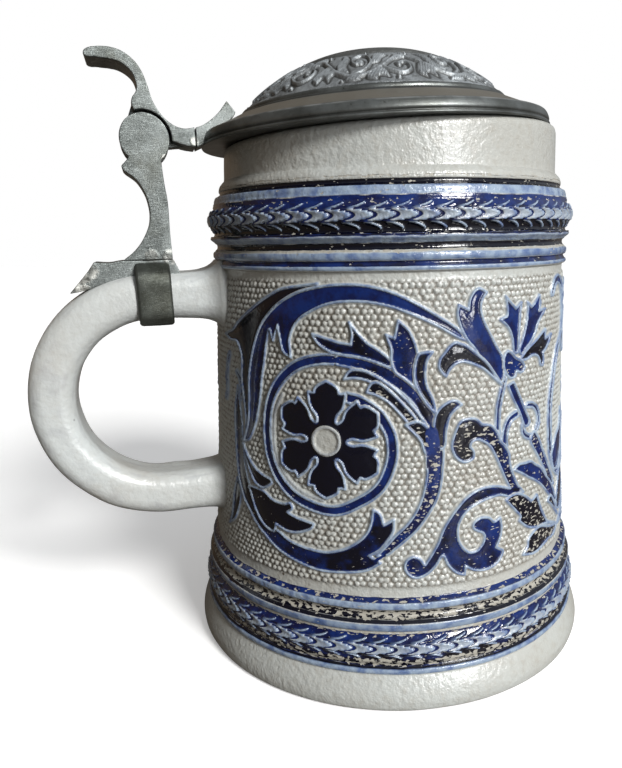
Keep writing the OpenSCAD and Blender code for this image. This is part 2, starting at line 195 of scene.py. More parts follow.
FLOWER_LEAVES = [
    # palmette leaf and the black leaf curling off it
    (0.1, 0.0, [(75.8, 88.7), (75.8, 88.7), (74, 89.5), (72.7, 88.8), (71.8, 87.3), (71.6, 85.4),
                (71.6, 85.4), (69.3, 86.5), (69.3, 86.5), (69.1, 84.4), (70.2, 81.5), (71.7, 79.2),
                (73, 77.9), (76.1, 74), (79.4, 70.7), (80, 69.7), (80, 69.7), (80.7, 72),
                (80.1, 75.3), (78.3, 78), (76.6, 80.7), (75.1, 83.2), (74.3, 85.7), (74.8, 87.6)]),
    (0.85, 0.06, [(70, 78.8), (68.6, 79.2), (67.3, 78.4), (66.4, 77.3), (65.4, 76.1), (65.2, 74.4),
                  (66, 73.2), (66.7, 72.6), (66.7, 72.6), (67.4, 73.9), (68.7, 75), (70.3, 75.4),
                  (72.8, 74.7), (75.3, 73.5), (77.3, 71.9), (80, 69.7), (80, 69.7), (76.3, 74.3),
                  (73.4, 76.7), (71.3, 78.3)]),
    # flower: knot, three petals and stem
    (0.15, 0.0, [(81.9, 69.2), (81.9, 69.2), (83.6, 66.1), (85.7, 62.8), (87.4, 59.6), (89, 60.4),
                 (87.1, 63.6), (85.3, 66.9), (83.6, 69.8), (83.6, 69.8)]),
    (0.05, 0.0, [(83.4, 76.4), (83.1, 78.6), (82.2, 80.7), (80.9, 82.1), (79.4, 83.1), (79.4, 83.1),
                 (81.3, 83.6), (81.3, 83.6), (81.4, 85.2), (80.8, 87.7), (80.8, 87.7), (82.5, 86.1),
                 (83.9, 85), (83.9, 85), (85.6, 86.2), (85.6, 86.2), (85.1, 83.6), (85, 81.2),
                 (84.8, 78.6), (84.6, 76)]),
    (0.05, 0.0, [(85.2, 76.3), (86.3, 78.6), (87.4, 81.5), (87.9, 84.4), (87.7, 86.1), (87.7, 86.1),
                 (89.2, 84.9), (89.2, 84.9), (90.5, 85.7), (92.2, 87.3), (92.2, 87.3), (92.5, 85.5),
                 (92.2, 83.9), (92.2, 83.9), (95, 84.2), (95, 84.2), (93, 82.6), (91.4, 81),
                 (90.6, 79.4), (89, 77.7), (87.3, 76.5), (86.2, 75.4)]),
    (0.75, 0.08, [(85.9, 74.4), (87.8, 76.1), (90.7, 77.5), (92.8, 78.6), (95.2, 79.8), (95.2, 79.8),
                  (95.5, 77.6), (95.5, 77.6), (98.8, 78.4), (98.8, 78.4), (97.3, 76.7), (95.7, 75.5),
                  (94.2, 74.8), (94.2, 74.8), (94.6, 73.4), (94.2, 71.9), (94.2, 71.9), (93.2, 72.3),
                  (92.8, 73.4), (91.9, 74.4), (89.8, 74.8), (87.8, 74.2)]),
    (0.3, 0.2, [(80.7, 75.4), (81.7, 76.5), (83, 75.8), (84.2, 74.8), (86.1, 73.9), (87, 72.5),
                (85.9, 71.6), (84.4, 72.1), (84, 71), (82.6, 70.8), (81.3, 72), (80.6, 73.6)]),
    # stem below the loop and its long leaf
    (0.2, 0.3, [(89.7, 55.7), (91.5, 53.2), (93.4, 50.8), (95.7, 47.8), (98.6, 44.1), (101, 42.4),
                (99.6, 45.5), (96.7, 49.7), (94.6, 53), (92.4, 56.4), (90.8, 57.6)]),
    (0.3, 0.15, [(83.8, 50.5), (83.8, 50.5), (85.7, 51.3), (87.8, 51.1), (89.8, 51), (91.9, 49.7),
                 (94, 48.5), (96.9, 45.5), (99.8, 42.8), (104.8, 35.3), (104.8, 35.3), (101, 38.2),
                 (98.2, 40.8), (94.8, 43.9), (91.9, 46), (89, 47.6), (86.5, 49.1)]),
    # scroll shaped like a Y
    (0.55, 0.3, [(69.8, 62.8), (71.5, 63.4), (73.4, 63.2), (75, 61.9), (75, 61.9), (77.3, 61.3),
                 (78.8, 59.8), (79.8, 57.6), (81, 56.4), (82.3, 54.5), (82.6, 52), (83.7, 49.1),
                 (85.1, 46.7), (87, 44.7), (87, 44.7), (84.2, 45.1), (82.8, 46.6), (81.4, 48.9),
                 (79.7, 52.3), (78.5, 54.8), (76.9, 57.2), (74.8, 58.6), (73.6, 58.9), (72.5, 58.4),
                 (72.2, 57.5), (73, 56.4), (73, 55.2), (72.3, 54.6), (70.7, 54.4), (69, 55.6),
                 (68.1, 57.8), (68.5, 60)]),
    # lower S-scroll
    (0.45, 0.12, [(85.5, 45.2), (81.5, 46.9), (78.6, 47.8), (75.7, 48), (73.2, 47.4), (71.1, 46.2),
                  (68.9, 43.9), (67.2, 41.7), (66, 39.5), (65.2, 37.3), (63.9, 34.9), (62.9, 33.3),
                  (62.2, 32.5), (61.2, 33.9), (59.8, 34.4), (58.7, 33.8), (58.2, 32.8), (58.4, 31.4),
                  (59.5, 30.1), (61, 29.8), (62.9, 30.6), (64.6, 32.3), (66.1, 34.4), (67.3, 32),
                  (69, 30.1), (70.9, 29.2), (70.9, 29.2), (71.1, 31.2), (71.1, 31.2), (73.2, 29.9),
                  (75.7, 29.4), (78.2, 29.9), (79.8, 31.2), (80.6, 32.6), (80.6, 32.6), (78.6, 33.9),
                  (78.6, 33.9), (79.8, 36.2), (80.1, 38.3), (79.8, 40.5), (79.8, 40.5), (78.2, 39.8),
                  (76.9, 41), (74.8, 41.4), (73.1, 40.5), (73.1, 39.4), (74.2, 38.6), (75.2, 38.1),
                  (75.8, 37), (75.3, 35.5), (74, 34.2), (72.3, 34), (70.9, 34.9), (69.7, 36.7),
                  (69.3, 38.7), (69.5, 40.8), (70.5, 42.6), (72, 44), (74, 44.9), (76.5, 45.5),
                  (79.8, 45.7), (83, 44.6)]),
    # worn leaves by the cartouche
    (0.85, 0.3, [(81.5, 44.1), (81.5, 44.1), (83.2, 44.7), (85.3, 44.6), (87.8, 43.4), (90, 41.6),
                 (90, 41.6), (92.1, 42.6), (92.1, 42.6), (93, 40.6), (94.2, 38.3), (95.9, 35.9),
                 (97.5, 34.3), (100.7, 32.8), (104.4, 31.2), (104.4, 31.2), (97, 34), (91.9, 34.9),
                 (89.8, 35.4), (87.8, 36.4), (85.5, 38.3), (85.5, 38.3), (86, 39.3), (84.6, 40.8),
                 (82.9, 42.6)]),
    (0.85, 0.35, [(93.8, 34.3), (90.7, 34), (88.6, 32.7), (88.6, 31.4), (86.8, 29.7), (86.8, 29.7),
                  (90.7, 28.8), (94, 29.2), (97.3, 29.8), (100.7, 29.6), (104.4, 31.2), (104.4, 31.2),
                  (99, 32.4)]),
    (0.7, 0.3, [(97.4, 39.4), (97.4, 39.4), (100, 37.6), (104.6, 33.4), (104.6, 33.4), (102.4, 37),
                (99.6, 40)]),
]

# each stroke: (half width, blackness, worn share, points)
HANDLE_CURLS = [
    (0.55, 0.9, 0.0, [(11.4, 74.6), (10.5, 73), (9.6, 69.5), (9.9, 66.5), (9, 64)]),
    (0.5, 0.9, 0.0, [(15.4, 71), (16.8, 69.6), (17.5, 67.5), (16.8, 65)]),
]
SPIRAL_RING = [
    (0.95, 0.2, 0.02, [(63.8, 61.5), (62, 64.5), (59, 68), (55, 71.5), (50.5, 74.2), (45.5, 76),
                       (40, 76), (34.5, 74.3), (30, 70.5), (27.3, 65.5), (26.6, 60), (27.5, 54),
                       (30.5, 49), (35.5, 45.5), (43, 44.1), (48.5, 46.3), (53, 49.8), (55.3, 55),
                       (55.5, 59.5), (54.5, 62.5), (52.5, 65.5), (49, 67.8), (46, 68.6)]),
]
FLOWER_STROKES = [
    # ribbon, loop and branch of the flower stem
    (0.5, 0.1, 0.0, [(80.9, 71.2), (79.8, 67.3), (79.2, 64.8), (79, 61.5), (79.2, 59.5),
                     (79.5, 57.4)]),
    (0.5, 0.1, 0.0, [(88.3, 64.1), (90.2, 63.8), (91.8, 62.6), (92.7, 60.3), (92, 58.3),
                     (90.5, 57), (88.6, 57), (87, 58.2), (86.8, 60)]),
    (0.65, 0.1, 0.0, [(81.3, 55), (81, 57.5), (81.4, 60), (82.6, 61.9), (85, 62.9)]),
    # C-scroll of the cartouche
    (0.8, 0.3, 0.0, [(99, 87.4), (100.3, 89.2), (102.3, 90), (104.8, 89.6), (106.9, 87.6),
                     (108, 84), (108.2, 80), (107, 76)]),
    (0.95, 0.2, 0.02, [(107.3, 77), (103.8, 74.4), (101.4, 70.6), (99.9, 66.9), (98.9, 63.2),
                       (98.4, 59.6), (98.5, 55.5), (99.2, 51), (101.6, 47), (104.6, 44.6)]),
    # oval frame of the front medallion
    (0.95, 0.15, 0.0, [(139.8, 84.5), (131, 82.8), (124, 77.6), (119.6, 70), (118, 60),
                       (119.6, 50), (124, 42.4), (131, 37.2), (139.8, 35.5)]),
    (0.5, 0.1, 0.0, [(139.8, 80.6), (132.4, 79.2), (126.4, 74.6), (122.8, 68), (121.6, 60),
                     (122.8, 52), (126.4, 45.4), (132.4, 40.8), (139.8, 39.4)]),
]

# leaves of the front medallion, which the far half of the mug mirrors
MEDALLION_LEAVES = [
    (0.2, 0.0, [(108, 84.5), (108, 84.5), (111, 87.8), (116, 89.6), (122, 88.8), (128, 86.4),
                (134, 87.8), (138.6, 90.4), (139.8, 90.6), (139.8, 86.6), (136, 85.6), (130, 84.4),
                (125, 85), (120, 86.4), (115, 86.6), (111, 85.2)]),
    (0.6, 0.0, [(106.5, 76), (106.5, 76), (110, 79), (113.4, 82.6), (118, 83.6), (118, 83.6),
                (116.2, 80.6), (118.6, 79), (118.6, 79), (115.6, 77), (112.6, 74), (109.6, 73)]),
    (0.3, 0.0, [(100, 50), (100, 50), (103, 53.6), (107, 55.4), (108.4, 59.6), (108.4, 59.6),
                (109.8, 56.6), (113.6, 57.2), (113.6, 57.2), (112, 53), (108.6, 48.6), (105, 45.6),
                (101.6, 46.4)]),
    (0.5, 0.1, [(104.5, 40.5), (108, 44.6), (112.6, 46), (115.6, 50), (115.6, 50), (117, 45),
                (117, 45), (120.6, 44.6), (120.6, 44.6), (117.4, 40.4), (112, 36.6), (107, 34.6),
                (103.4, 36)]),
    (0.2, 0.0, [(104.4, 31), (104.4, 31), (110, 33.4), (117, 35.2), (124, 35), (130, 33),
                (135, 32.8), (139.8, 33.6), (139.8, 29.4), (133, 28.9), (126, 30.4), (119, 31.4),
                (111, 30.6)]),
]

# short runs of glaze that join two motifs: (half width, blackness, points)
BRIDGES = [
    (0.62, 0.3, [(42.4, 76.1), (46, 76.1)]),
    (1.5, 0.35, [(64, 54.5), (63.9, 59), (63.7, 61)]),
    (0.4, 0.4, [(52, 33.6), (54, 35)]),
    (0.5, 0.5, [(83.2, 46.2), (85.4, 45.6)]),
]

# plain grey ridge inside the spiral ring
RING_RIDGE = [(31, 68), (28.9, 64), (28.4, 59.5), (29.2, 54.5), (31.8, 50.3), (36, 47.3), (41, 46.2)]

# ---------- colours, linear ----------

CLAY_PALE = (0.385, 0.40, 0.385, 1)
CLAY_CLOUD = (0.335, 0.335, 0.31, 1)
CLAY_WARM = (0.24, 0.21, 0.165, 1)
# painted shade: dark colour laid into the ground between the pearls, where the relief is in shadow
PAINTED_SHADE_CREVICE = (0.085, 0.068, 0.048, 1)
BARE_CLAY = (0.31, 0.295, 0.255, 1)
SPECK = (0.05, 0.035, 0.025, 1)
RIM_PALE = (0.22, 0.29, 0.39, 1)
RIM_BLUE = (0.06, 0.11, 0.25, 1)
COBALT = (0.001, 0.0032, 0.034, 1)
COBALT_THIN = (0.0028, 0.0165, 0.105, 1)
GLAZE_BLACK = (0.0008, 0.001, 0.0055, 1)
HANDLE_PALE = (0.56, 0.6, 0.62, 1)
HANDLE_STAIN = (0.27, 0.23, 0.18, 1)
HANDLE_STREAK = (0.22, 0.22, 0.24, 1)
CAST_TONE = (0.185, 0.202, 0.197, 1)
CAST_DARK = (0.085, 0.094, 0.09, 1)
OLIVE_TONE = (0.08, 0.087, 0.077, 1)
OLIVE_DARK = (0.042, 0.045, 0.037, 1)
CAST_PIT = (0.02, 0.02, 0.016, 1)
TARNISH = (0.07, 0.072, 0.058, 1)
SOLDER = (0.62, 0.62, 0.58, 1)
SOLDER_SHADE = (0.1, 0.1, 0.09, 1)
RING_TONE = (0.14, 0.15, 0.148, 1)
RING_DARK = (0.078, 0.082, 0.077, 1)
# painted reflection: the warm room mirrored in the lid's sloping top, laid into its colour
RING_TOP_PAINTED_REFLECTION = (0.30, 0.265, 0.21, 1)
RING_TOP_PAINTED_REFLECTION_DARK = (0.20, 0.185, 0.155, 1)
# painted highlight: the light caught by the rounded corner where the lid's band meets its sloping top
RING_EDGE_PAINTED_HIGHLIGHT = (0.42, 0.43, 0.42, 1)
# darker colour in the two bead grooves of the lid ring
RING_GROOVE_DARK = (0.03, 0.028, 0.022, 1)
# painted shade: the plain crown gets darker metal than the scroll band, damping its bright reflection
# of the room above
DOME_CROWN_PAINTED_SHADE_DARK = (0.095, 0.098, 0.094, 1)
DOME_CROWN_PAINTED_SHADE_PALE = (0.15, 0.155, 0.15, 1)
DOME_LEAF_DARK = (0.2, 0.212, 0.22, 1)
DOME_LEAF_PALE = (0.36, 0.385, 0.4, 1)
# painted highlight: the light caught by the tops of the dome's raised scroll
DOME_RAISED_PAINTED_HIGHLIGHT = (0.5, 0.54, 0.57, 1)
# darker colour in the grooves around the dome's scroll
DOME_GROOVE_DARK = (0.022, 0.018, 0.012, 1)
DOME_DUSK = (0.06, 0.06, 0.056, 1)
STEEL_DARK = (0.32, 0.32, 0.33, 1)
STEEL_PALE = (0.5, 0.5, 0.5, 1)
PAPER_DARK = (0.86, 0.86, 0.86, 1)
PAPER_PALE = (0.9, 0.9, 0.9, 1)
TABLE_BROWN = (0.12, 0.1, 0.08, 1)
ROOM_LEFT = (0.25, 0.175, 0.11, 1)
ROOM_MIDDLE = (0.15, 0.14, 0.13, 1)
ROOM_RIGHT = (0.62, 0.66, 0.7, 1)


# ---------- curves and distances ----------

def smooth_line(points, step=0.5):
    """Points along a smooth open line through the given ones."""
    p = np.array(points, float)
    p = np.vstack([2 * p[0] - p[1], p, 2 * p[-1] - p[-2]])
    pieces = []
    for i in range(1, len(p) - 2):
        count = max(1, math.ceil(np.linalg.norm(p[i + 1] - p[i]) / step))
        t = np.arange(count)[:, None] / count
        a, b, c, d = p[i - 1], p[i], p[i + 1], p[i + 2]
        pieces.append(0.5 * (2 * b + (c - a) * t + (2 * a - 5 * b + 4 * c - d) * t**2
                             + (3 * b - a - 3 * c + d) * t**3))
    return np.vstack(pieces + [p[-2:-1]])


def smooth_outline(points, step=0.5):
    """Points along a smooth closed outline; a point written twice in a row stays a corner."""
    corners = [i for i in range(len(points)) if points[i] == points[i - 1]]
    if not corners:
        looped = [points[-1]] + list(points) + [points[0], points[1]]
        line = smooth_line(looped, step)
        near = np.linalg.norm(line - np.array(points[0]), axis=1)
        first = int(np.argmin(near[: len(line) // 2]))
        last = len(line) // 2 + int(np.argmin(near[len(line) // 2:]))
        return line[first:last]
    turned = list(points[corners[0]:]) + list(points[:corners[0]])
    runs, run = [], [turned[0]]
    for point in turned[1:]:
        if point == run[-1]:
            runs.append(run)
            run = [point]
        else:
            run.append(point)
    runs.append(run + [turned[0]])
    return np.vstack([smooth_line(run, step)[:-1] for run in runs if len(run) > 1])


def line_distance(x, y, line):
    """Distance from each point to an open line."""
    best = np.full(x.shape, 1e9)
    for (ax, ay), (bx, by) in zip(line[:-1], line[1:]):
        ex, ey = bx - ax, by - ay
        t = np.clip(((x - ax) * ex + (y - ay) * ey) / max(ex * ex + ey * ey, 1e-12), 0, 1)
        best = np.minimum(best, (x - ax - t * ex) ** 2 + (y - ay - t * ey) ** 2)
    return np.sqrt(best)


def outline_distance(x, y, outline):
    """Signed distance to a closed outline, negative inside it."""
    closed = np.vstack([outline, outline[:1]])
    inside = np.zeros(x.shape, bool)
    for (ax, ay), (bx, by) in zip(closed[:-1], closed[1:]):
        if ay != by:
            inside ^= ((ay > y) != (by > y)) & (x < (bx - ax) * (y - ay) / (by - ay) + ax)
    return np.where(inside, -1, 1) * line_distance(x, y, closed)


def smoothstep(low, high, value):
    t = np.clip((value - low) / (high - low), 0, 1)
    return t * t * (3 - 2 * t)


def ripple(a, b, scale, seed):
    """Smooth seeded noise from -1 to 1 with features about as long as scale."""
    rng = np.random.default_rng(seed)
    total = np.zeros(np.broadcast(a, b).shape)
    for _ in range(7):
        angle, phase = rng.uniform(0, math.tau, 2)
        k = math.tau / (scale * rng.uniform(0.7, 1.5))
        total = total + np.sin(k * (a * math.cos(angle) + b * math.sin(angle)) + phase)
    return total / 4.5


# ---------- the moulded relief of the mug ----------

class Relief:
    """Height and glaze over a patch of unrolled wall. Later motifs cover earlier ones."""

    def __init__(self, s, z):
        self.s, self.z = s, z
        self.height = np.zeros(s.shape)
        self.cobalt = np.zeros(s.shape)
        self.black = np.zeros(s.shape)
        self.worn = np.zeros(s.shape)
        self.rim = np.zeros(s.shape)
        self.nearest = np.full(s.shape, 9.0)

    def near(self, line, margin=2.5):
        """The part of the patch close to a line, as index slices."""
        low, high = line.min(0) - margin, line.max(0) + margin
        columns = np.flatnonzero((self.s[0] > low[0]) & (self.s[0] < high[0]))
        rows = np.flatnonzero((self.z[:, 0] > low[1]) & (self.z[:, 0] < high[1]))
        if not len(columns) or not len(rows):
            return None
        return slice(rows[0], rows[-1] + 1), slice(columns[0], columns[-1] + 1)

    def inlay(self, part, distance, black, worn):
        """A glazed bed with a raised pale rim along its edge."""
        cover = 1 - smoothstep(0.3, 0.62, distance)
        rim = np.exp(-((distance - 0.05) / 0.3) ** 2)
        bed = 1 - smoothstep(-0.55, -0.1, distance)
        bulge = 0.14 * smoothstep(0.4, 2.2, -distance)
        height = 0.8 * rim + (0.36 + bulge) * bed
        self.blend(part, "height", height, cover)
        self.blend(part, "cobalt", 1 - smoothstep(-0.36, -0.12, distance), cover)
        self.blend(part, "black", black * bed, cover)
        self.blend(part, "worn", worn * bed, cover)
        self.blend(part, "rim", rim, cover)
        self.nearest[part] = np.minimum(self.nearest[part], distance)

    def blend(self, part, name, value, cover):
        field = getattr(self, name)
        field[part] = field[part] * (1 - cover) + value * cover

    def leaf(self, outline, black=0.3, worn=0.0):
        part = self.near(outline)
        if part:
            self.inlay(part, outline_distance(self.s[part], self.z[part], outline), black, worn)

    def stroke(self, line, half_width, black=0.3, worn=0.0):
        part = self.near(line)
        if part:
            distance = line_distance(self.s[part], self.z[part], line) - half_width
            self.inlay(part, distance, black, worn)

    def bridge(self, line, half_width, black):
        """Glaze that runs from one motif into the next, across their rims."""
        part = self.near(line)
        if part:
            distance = line_distance(self.s[part], self.z[part], line) - half_width
            cover = 1 - smoothstep(-0.25, 0.1, distance)
            for name, value in (("height", 0.42), ("cobalt", 1), ("black", black), ("rim", 0)):
                self.blend(part, name, value, cover)

    def bead(self, line, half_width, height):
        """A plain raised line without glaze."""
        part = self.near(line)
        if part:
            distance = line_distance(self.s[part], self.z[part], line) - half_width
            cover = 1 - smoothstep(-0.1, 0.35, distance)
            self.blend(part, "height", height, cover)
            self.blend(part, "cobalt", 0, cover)
            self.blend(part, "rim", 0.35, cover)
            self.nearest[part] = np.minimum(self.nearest[part], distance)


def draw_rosette(relief, centre, petals=6, size=1.0):
    """Petals that join around a raised button and have looped slots between them."""
    squeeze = 6 / petals
    polar = []
    for i in range(petals):
        axis = 90 + 360 / petals * i
        polar += [(r, axis - d * squeeze) for r, d in PETAL_EDGE]
        polar += [(r, axis + d * squeeze) for r, d in PETAL_EDGE[-3:0:-1]]
    outline = smooth_outline([(centre[0] + size * r * math.cos(math.radians(d)),
                               centre[1] + size * r * math.sin(math.radians(d)))
                              for r, d in polar], OUTLINE_STEP)
    relief.leaf(outline, black=0.78)
    button = outline_circle(centre, 2.85 * size)
    relief.bead(button, 0.36, 0.78)
    part = relief.near(button, 1)
    if part:
        reach = np.hypot(relief.s[part] - centre[0], relief.z[part] - centre[1])
        cover = 1 - smoothstep(2.45 * size, 2.7 * size, reach)
        relief.blend(part, "height", 0.4, cover)
        for name in ("cobalt", "black", "worn", "rim"):
            relief.blend(part, name, 0.0, cover)
        relief.nearest[part] = np.minimum(relief.nearest[part], reach - 3 * size)


def outline_circle(centre, radius):
    turn = np.linspace(0, math.tau, 49)
    return np.column_stack([centre[0] + radius * np.cos(turn), centre[1] + radius * np.sin(turn)])


def draw_leaves(relief, leaves):
    for black, worn, points in leaves:
        relief.leaf(smooth_outline(points), black, worn)


def draw_strokes(relief, strokes):
    for half_width, black, worn, points in strokes:
        relief.stroke(smooth_line(points), half_width, black, worn)


def draw_ornament(relief):
    """Every motif of the panel, the ones behind first."""
    draw_strokes(relief, HANDLE_CURLS)
    draw_leaves(relief, OUTER_LEAVES)
    draw_strokes(relief, SPIRAL_RING)
    relief.bead(smooth_line(RING_RIDGE), 0.35, 0.4)
    draw_leaves(relief, SPIRAL_LEAVES)
    draw_strokes(relief, FLOWER_STROKES)
    draw_leaves(relief, FLOWER_LEAVES + MEDALLION_LEAVES)
    for half_width, black, points in BRIDGES:
        relief.bridge(smooth_line(points), half_width, black)
    draw_rosette(relief, ROSETTE_CENTRE)
    draw_rosette(relief, MEDALLION_CENTRE, petals=8, size=1.1)


def add_pearls(relief):
    """Offset rows of small round pearls wherever no motif stands."""
    pitch, row_pitch, radius = 1.4, 1.2, 0.63
    row = np.round((relief.z - PANEL_Z[0]) / row_pitch)
    offset = (row % 2) * pitch / 2
    column = np.round((relief.s - offset) / pitch)
    wobble_s = 0.12 * np.sin(row * 12.9898 + column * 78.233)
    wobble_z = 0.10 * np.sin(row * 39.346 + column * 11.135)
    ds = relief.s - offset - column * pitch - wobble_s
    dz = relief.z - PANEL_Z[0] - row * row_pitch - wobble_z
    swell = np.clip(1 - (ds**2 + dz**2) / radius**2, 0, 1)
    height = (0.46 + 0.06 * np.sin(row * 4.1 + column * 7.7)) * np.sqrt(swell)
    inside = smoothstep(PANEL_Z[0], PANEL_Z[0] + 0.8, relief.z)
    inside = inside * (1 - smoothstep(PANEL_Z[1] - 0.8, PANEL_Z[1], relief.z))
    ground = smoothstep(0.45, 1.0, relief.nearest) * inside
    relief.height += height * ground
    # the pearl and ground masks go to the material, which paints shade into the ground between the
    # pearls
    return swell * ground, ground


# each plaited band: (bottom z, top z, pitch, spread, blackness below and above, bare share)
BRAIDS = [
    (100.5, 106.8, 4.33, 0.22, (0.9, 0.3), 0.2),
    (11.5, 17.5, 4.0, 0.2, (0.55, 0.35), 0.3),
]


def draw_braid(relief, bottom, top, pitch, spread, blackness, bare):
    """Rounded tongues overlapping along +s between two rows of curled half leaves."""
    s, z = relief.s, relief.z
    width = top - bottom
    offset = z - (bottom + top) / 2
    lower = (offset < 0).astype(float)
    inside = smoothstep(bottom - 0.1, bottom + 0.1, z) * (1 - smoothstep(top - 0.1, top + 0.1, z))
    across = np.abs(offset) / (0.2 * width)
    core = 1 - smoothstep(0.9, 1.1, across)
    phase = np.mod(s / pitch + 1.05 * across**2.1, 1)
    rise = phase * (1 - smoothstep(0.86, 1.0, phase))
    edge = smoothstep(0.68, 0.84, phase) * (1 - smoothstep(0.88, 0.98, phase))
    flank = 1 + 1.6 * np.minimum(across, 1) ** 2
    behind = phase / flank
    hollow = np.maximum(1 - smoothstep(0.06, 0.26, behind), smoothstep(0.92, 1.0, phase))
    row = (np.abs(offset) - 0.2 * width) / (spread * width)
    turn = np.mod(s / pitch + 0.35 + 0.25 * lower, 1)
    gap = (row - turn**2) * spread * width
    curl = np.exp(-((gap / (0.34 - 0.16 * turn)) ** 2)) * smoothstep(0.0, 0.2, turn)
    curl = curl * (1 - core) * (1 - smoothstep(0.9, 1.0, turn))
    beyond = smoothstep(1.0, 1.25, row)
    seam = np.exp(-(((across - 1.04) / 0.14) ** 2))
    height = core * (0.1 + 0.75 * rise) + 0.5 * curl - 0.15 * seam - 0.45
    paint = {
        "rim": (core * (0.52 + 0.5 * edge) * (1 - hollow) + curl) * (1 - 0.85 * seam),
        "cobalt": np.maximum(np.maximum(core * hollow, (1 - core) * (1 - curl)), seam),
        # black: the glaze of the outer rows and the seam, plus painted shadow just past each tongue's
        # tip, under the tongue that overlaps it
        "black": (1 - core) * np.where(lower > 0, blackness[0], blackness[1]) + 0.3 * seam
        + 0.5 * core * (1 - smoothstep(0.02, 0.16, phase)),
        "worn": (1 - core) * (1 - curl) * (0.06 + bare * beyond),
    }
    relief.height += inside * height
    for name, value in paint.items():
        field = getattr(relief, name)
        field += inside * (np.clip(value, 0, 1) - field)


# each glazed ring: (bottom z, top z, cobalt, black, worn share, pale share)
RINGS = [
    (8.4, 9.75, 0.42, 0.0, 0.02, 0.75),
    (9.7, 10.0, 1.0, 0.85, 0.0, 0.0),
    (10.1, 11.5, 0.9, 0.75, 0.5, 0.0),
    (17.5, 18.2, 0.3, 0.5, 0.6, 0.0),
    (18.2, 20.1, 0.5, 0.0, 0.04, 0.7),
    (20.2, 20.75, 1.0, 1.0, 0.1, 0.0),
    (20.8, 22.8, 0.7, 0.95, 0.5, 0.0),
    (23.0, 24.5, 0.35, 0.0, 0.05, 0.8),
    (24.55, 25.25, 1.0, 0.1, 0.3, 0.0),
    (93.5, 94.2, 0.45, 0.0, 0.0, 0.8),
    (94.25, 95.15, 1.0, 0.45, 0.06, 0.0),
    (95.3, 96.8, 0.5, 0.0, 0.03, 0.7),
    (96.9, 97.3, 0.3, 0.3, 0.7, 0.0),
    (97.4, 98.5, 1.0, 1.0, 0.1, 0.0),
    (98.6, 99.9, 0.28, 0.0, 0.03, 0.75),
    (99.9, 100.4, 1.0, 0.7, 0.05, 0.0),
    (106.8, 107.2, 1.0, 0.3, 0.05, 0.0),
    (107.3, 109.0, 0.42, 0.0, 0.05, 0.75),
    (109.05, 110.15, 1.0, 1.0, 0.12, 0.1),
    (110.55, 110.85, 0.6, 0.9, 0.55, 0.0),
]


def draw_rings(relief):
    """Glazed grooves and ridges around the mug, with edges that waver a little."""
    waver = 0.09 * ripple(relief.s, relief.z * 0, 17, SEED) + 0.05 * ripple(
        relief.s, relief.z * 0, 4.2, SEED + 1)
    z = relief.z + waver
    for bottom, top, cobalt, black, worn, pale in RINGS:
        cover = smoothstep(bottom - 0.12, bottom + 0.12, z) * (
            1 - smoothstep(top - 0.12, top + 0.12, z))
        relief.cobalt = relief.cobalt * (1 - cover) + cobalt * cover
        relief.black = relief.black * (1 - cover) + black * cover
        relief.worn = relief.worn * (1 - cover) + worn * cover
        relief.rim = relief.rim * (1 - cover) + pale * cover
        relief.height += cover * (0.2 * pale - 0.3 * max(0.0, cobalt - 0.6))
    ticks = smoothstep(23.0, 23.4, z) * (1 - smoothstep(24.1, 24.5, z))
    relief.height += 0.07 * ticks * ripple(relief.s, relief.z * 0, 1.5, SEED + 2)


# ---------- mesh building ----------

def link(obj):
    bpy.context.scene.collection.objects.link(obj)
    return obj


def smooth_shaded(mesh):
    mesh.polygons.foreach_set("use_smooth", [True] * len(mesh.polygons))
    return mesh


def mesh_object(name, points, faces):
    """An object from points in millimetres and a list of faces."""
    mesh = bpy.data.meshes.new(name)
    mesh.from_pydata((np.asarray(points) * MM).tolist(), [], faces)
    mesh.update()
    return link(bpy.data.objects.new(name, smooth_shaded(mesh)))


def wrapped_faces(rows, columns):
    """Quads of a grid whose columns close around."""
    index = np.arange(rows * columns).reshape(rows, columns)
    after = np.roll(index, -1, axis=1)
    return np.stack([index[:-1], after[:-1], after[1:], index[1:]], -1).reshape(-1, 4).tolist()


def capped_faces(rows, columns):
    """The same with a flat cap on each end."""
    last = (rows - 1) * columns
    bottom = list(range(columns))[::-1]
    top = list(range(last, last + columns))
    return wrapped_faces(rows, columns) + [bottom, top]


def resample(profile, step):
    """Even points along a smooth profile of (radius, height) points."""
    line = smooth_line(profile, 0.1)
    length = np.concatenate([[0], np.cumsum(np.linalg.norm(np.diff(line, axis=0), axis=1))])
    count = max(2, round(length[-1] / step) + 1)
    at = np.linspace(0, length[-1], count)
    return np.column_stack([np.interp(at, length, line[:, k]) for k in (0, 1)])


def profile_normals(profile):
    slope = np.gradient(profile, axis=0)
    slope = slope / np.linalg.norm(slope, axis=1)[:, None]
    return np.column_stack([slope[:, 1], -slope[:, 0]])


def add_attribute(obj, name, values):
    """A colour attribute from four per-vertex fields."""
    layer = obj.data.color_attributes.new(name, "FLOAT_COLOR", "POINT")
    layer.data.foreach_set("color", np.asarray(values, np.float32).ravel())


def ride_as(obj, body, slot, material, *nodes):
    """Hands a finished piece to the frame: what it moves with and what it stands for."""
    obj.data.materials.clear()
    obj.data.materials.append(material)
    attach(obj, body)
    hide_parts(*nodes)
    return obj


def mouth_height(x):
    """Height of the sloping mouth at x."""
    return MOUTH_Z + x * math.tan(MOUTH_TILT)


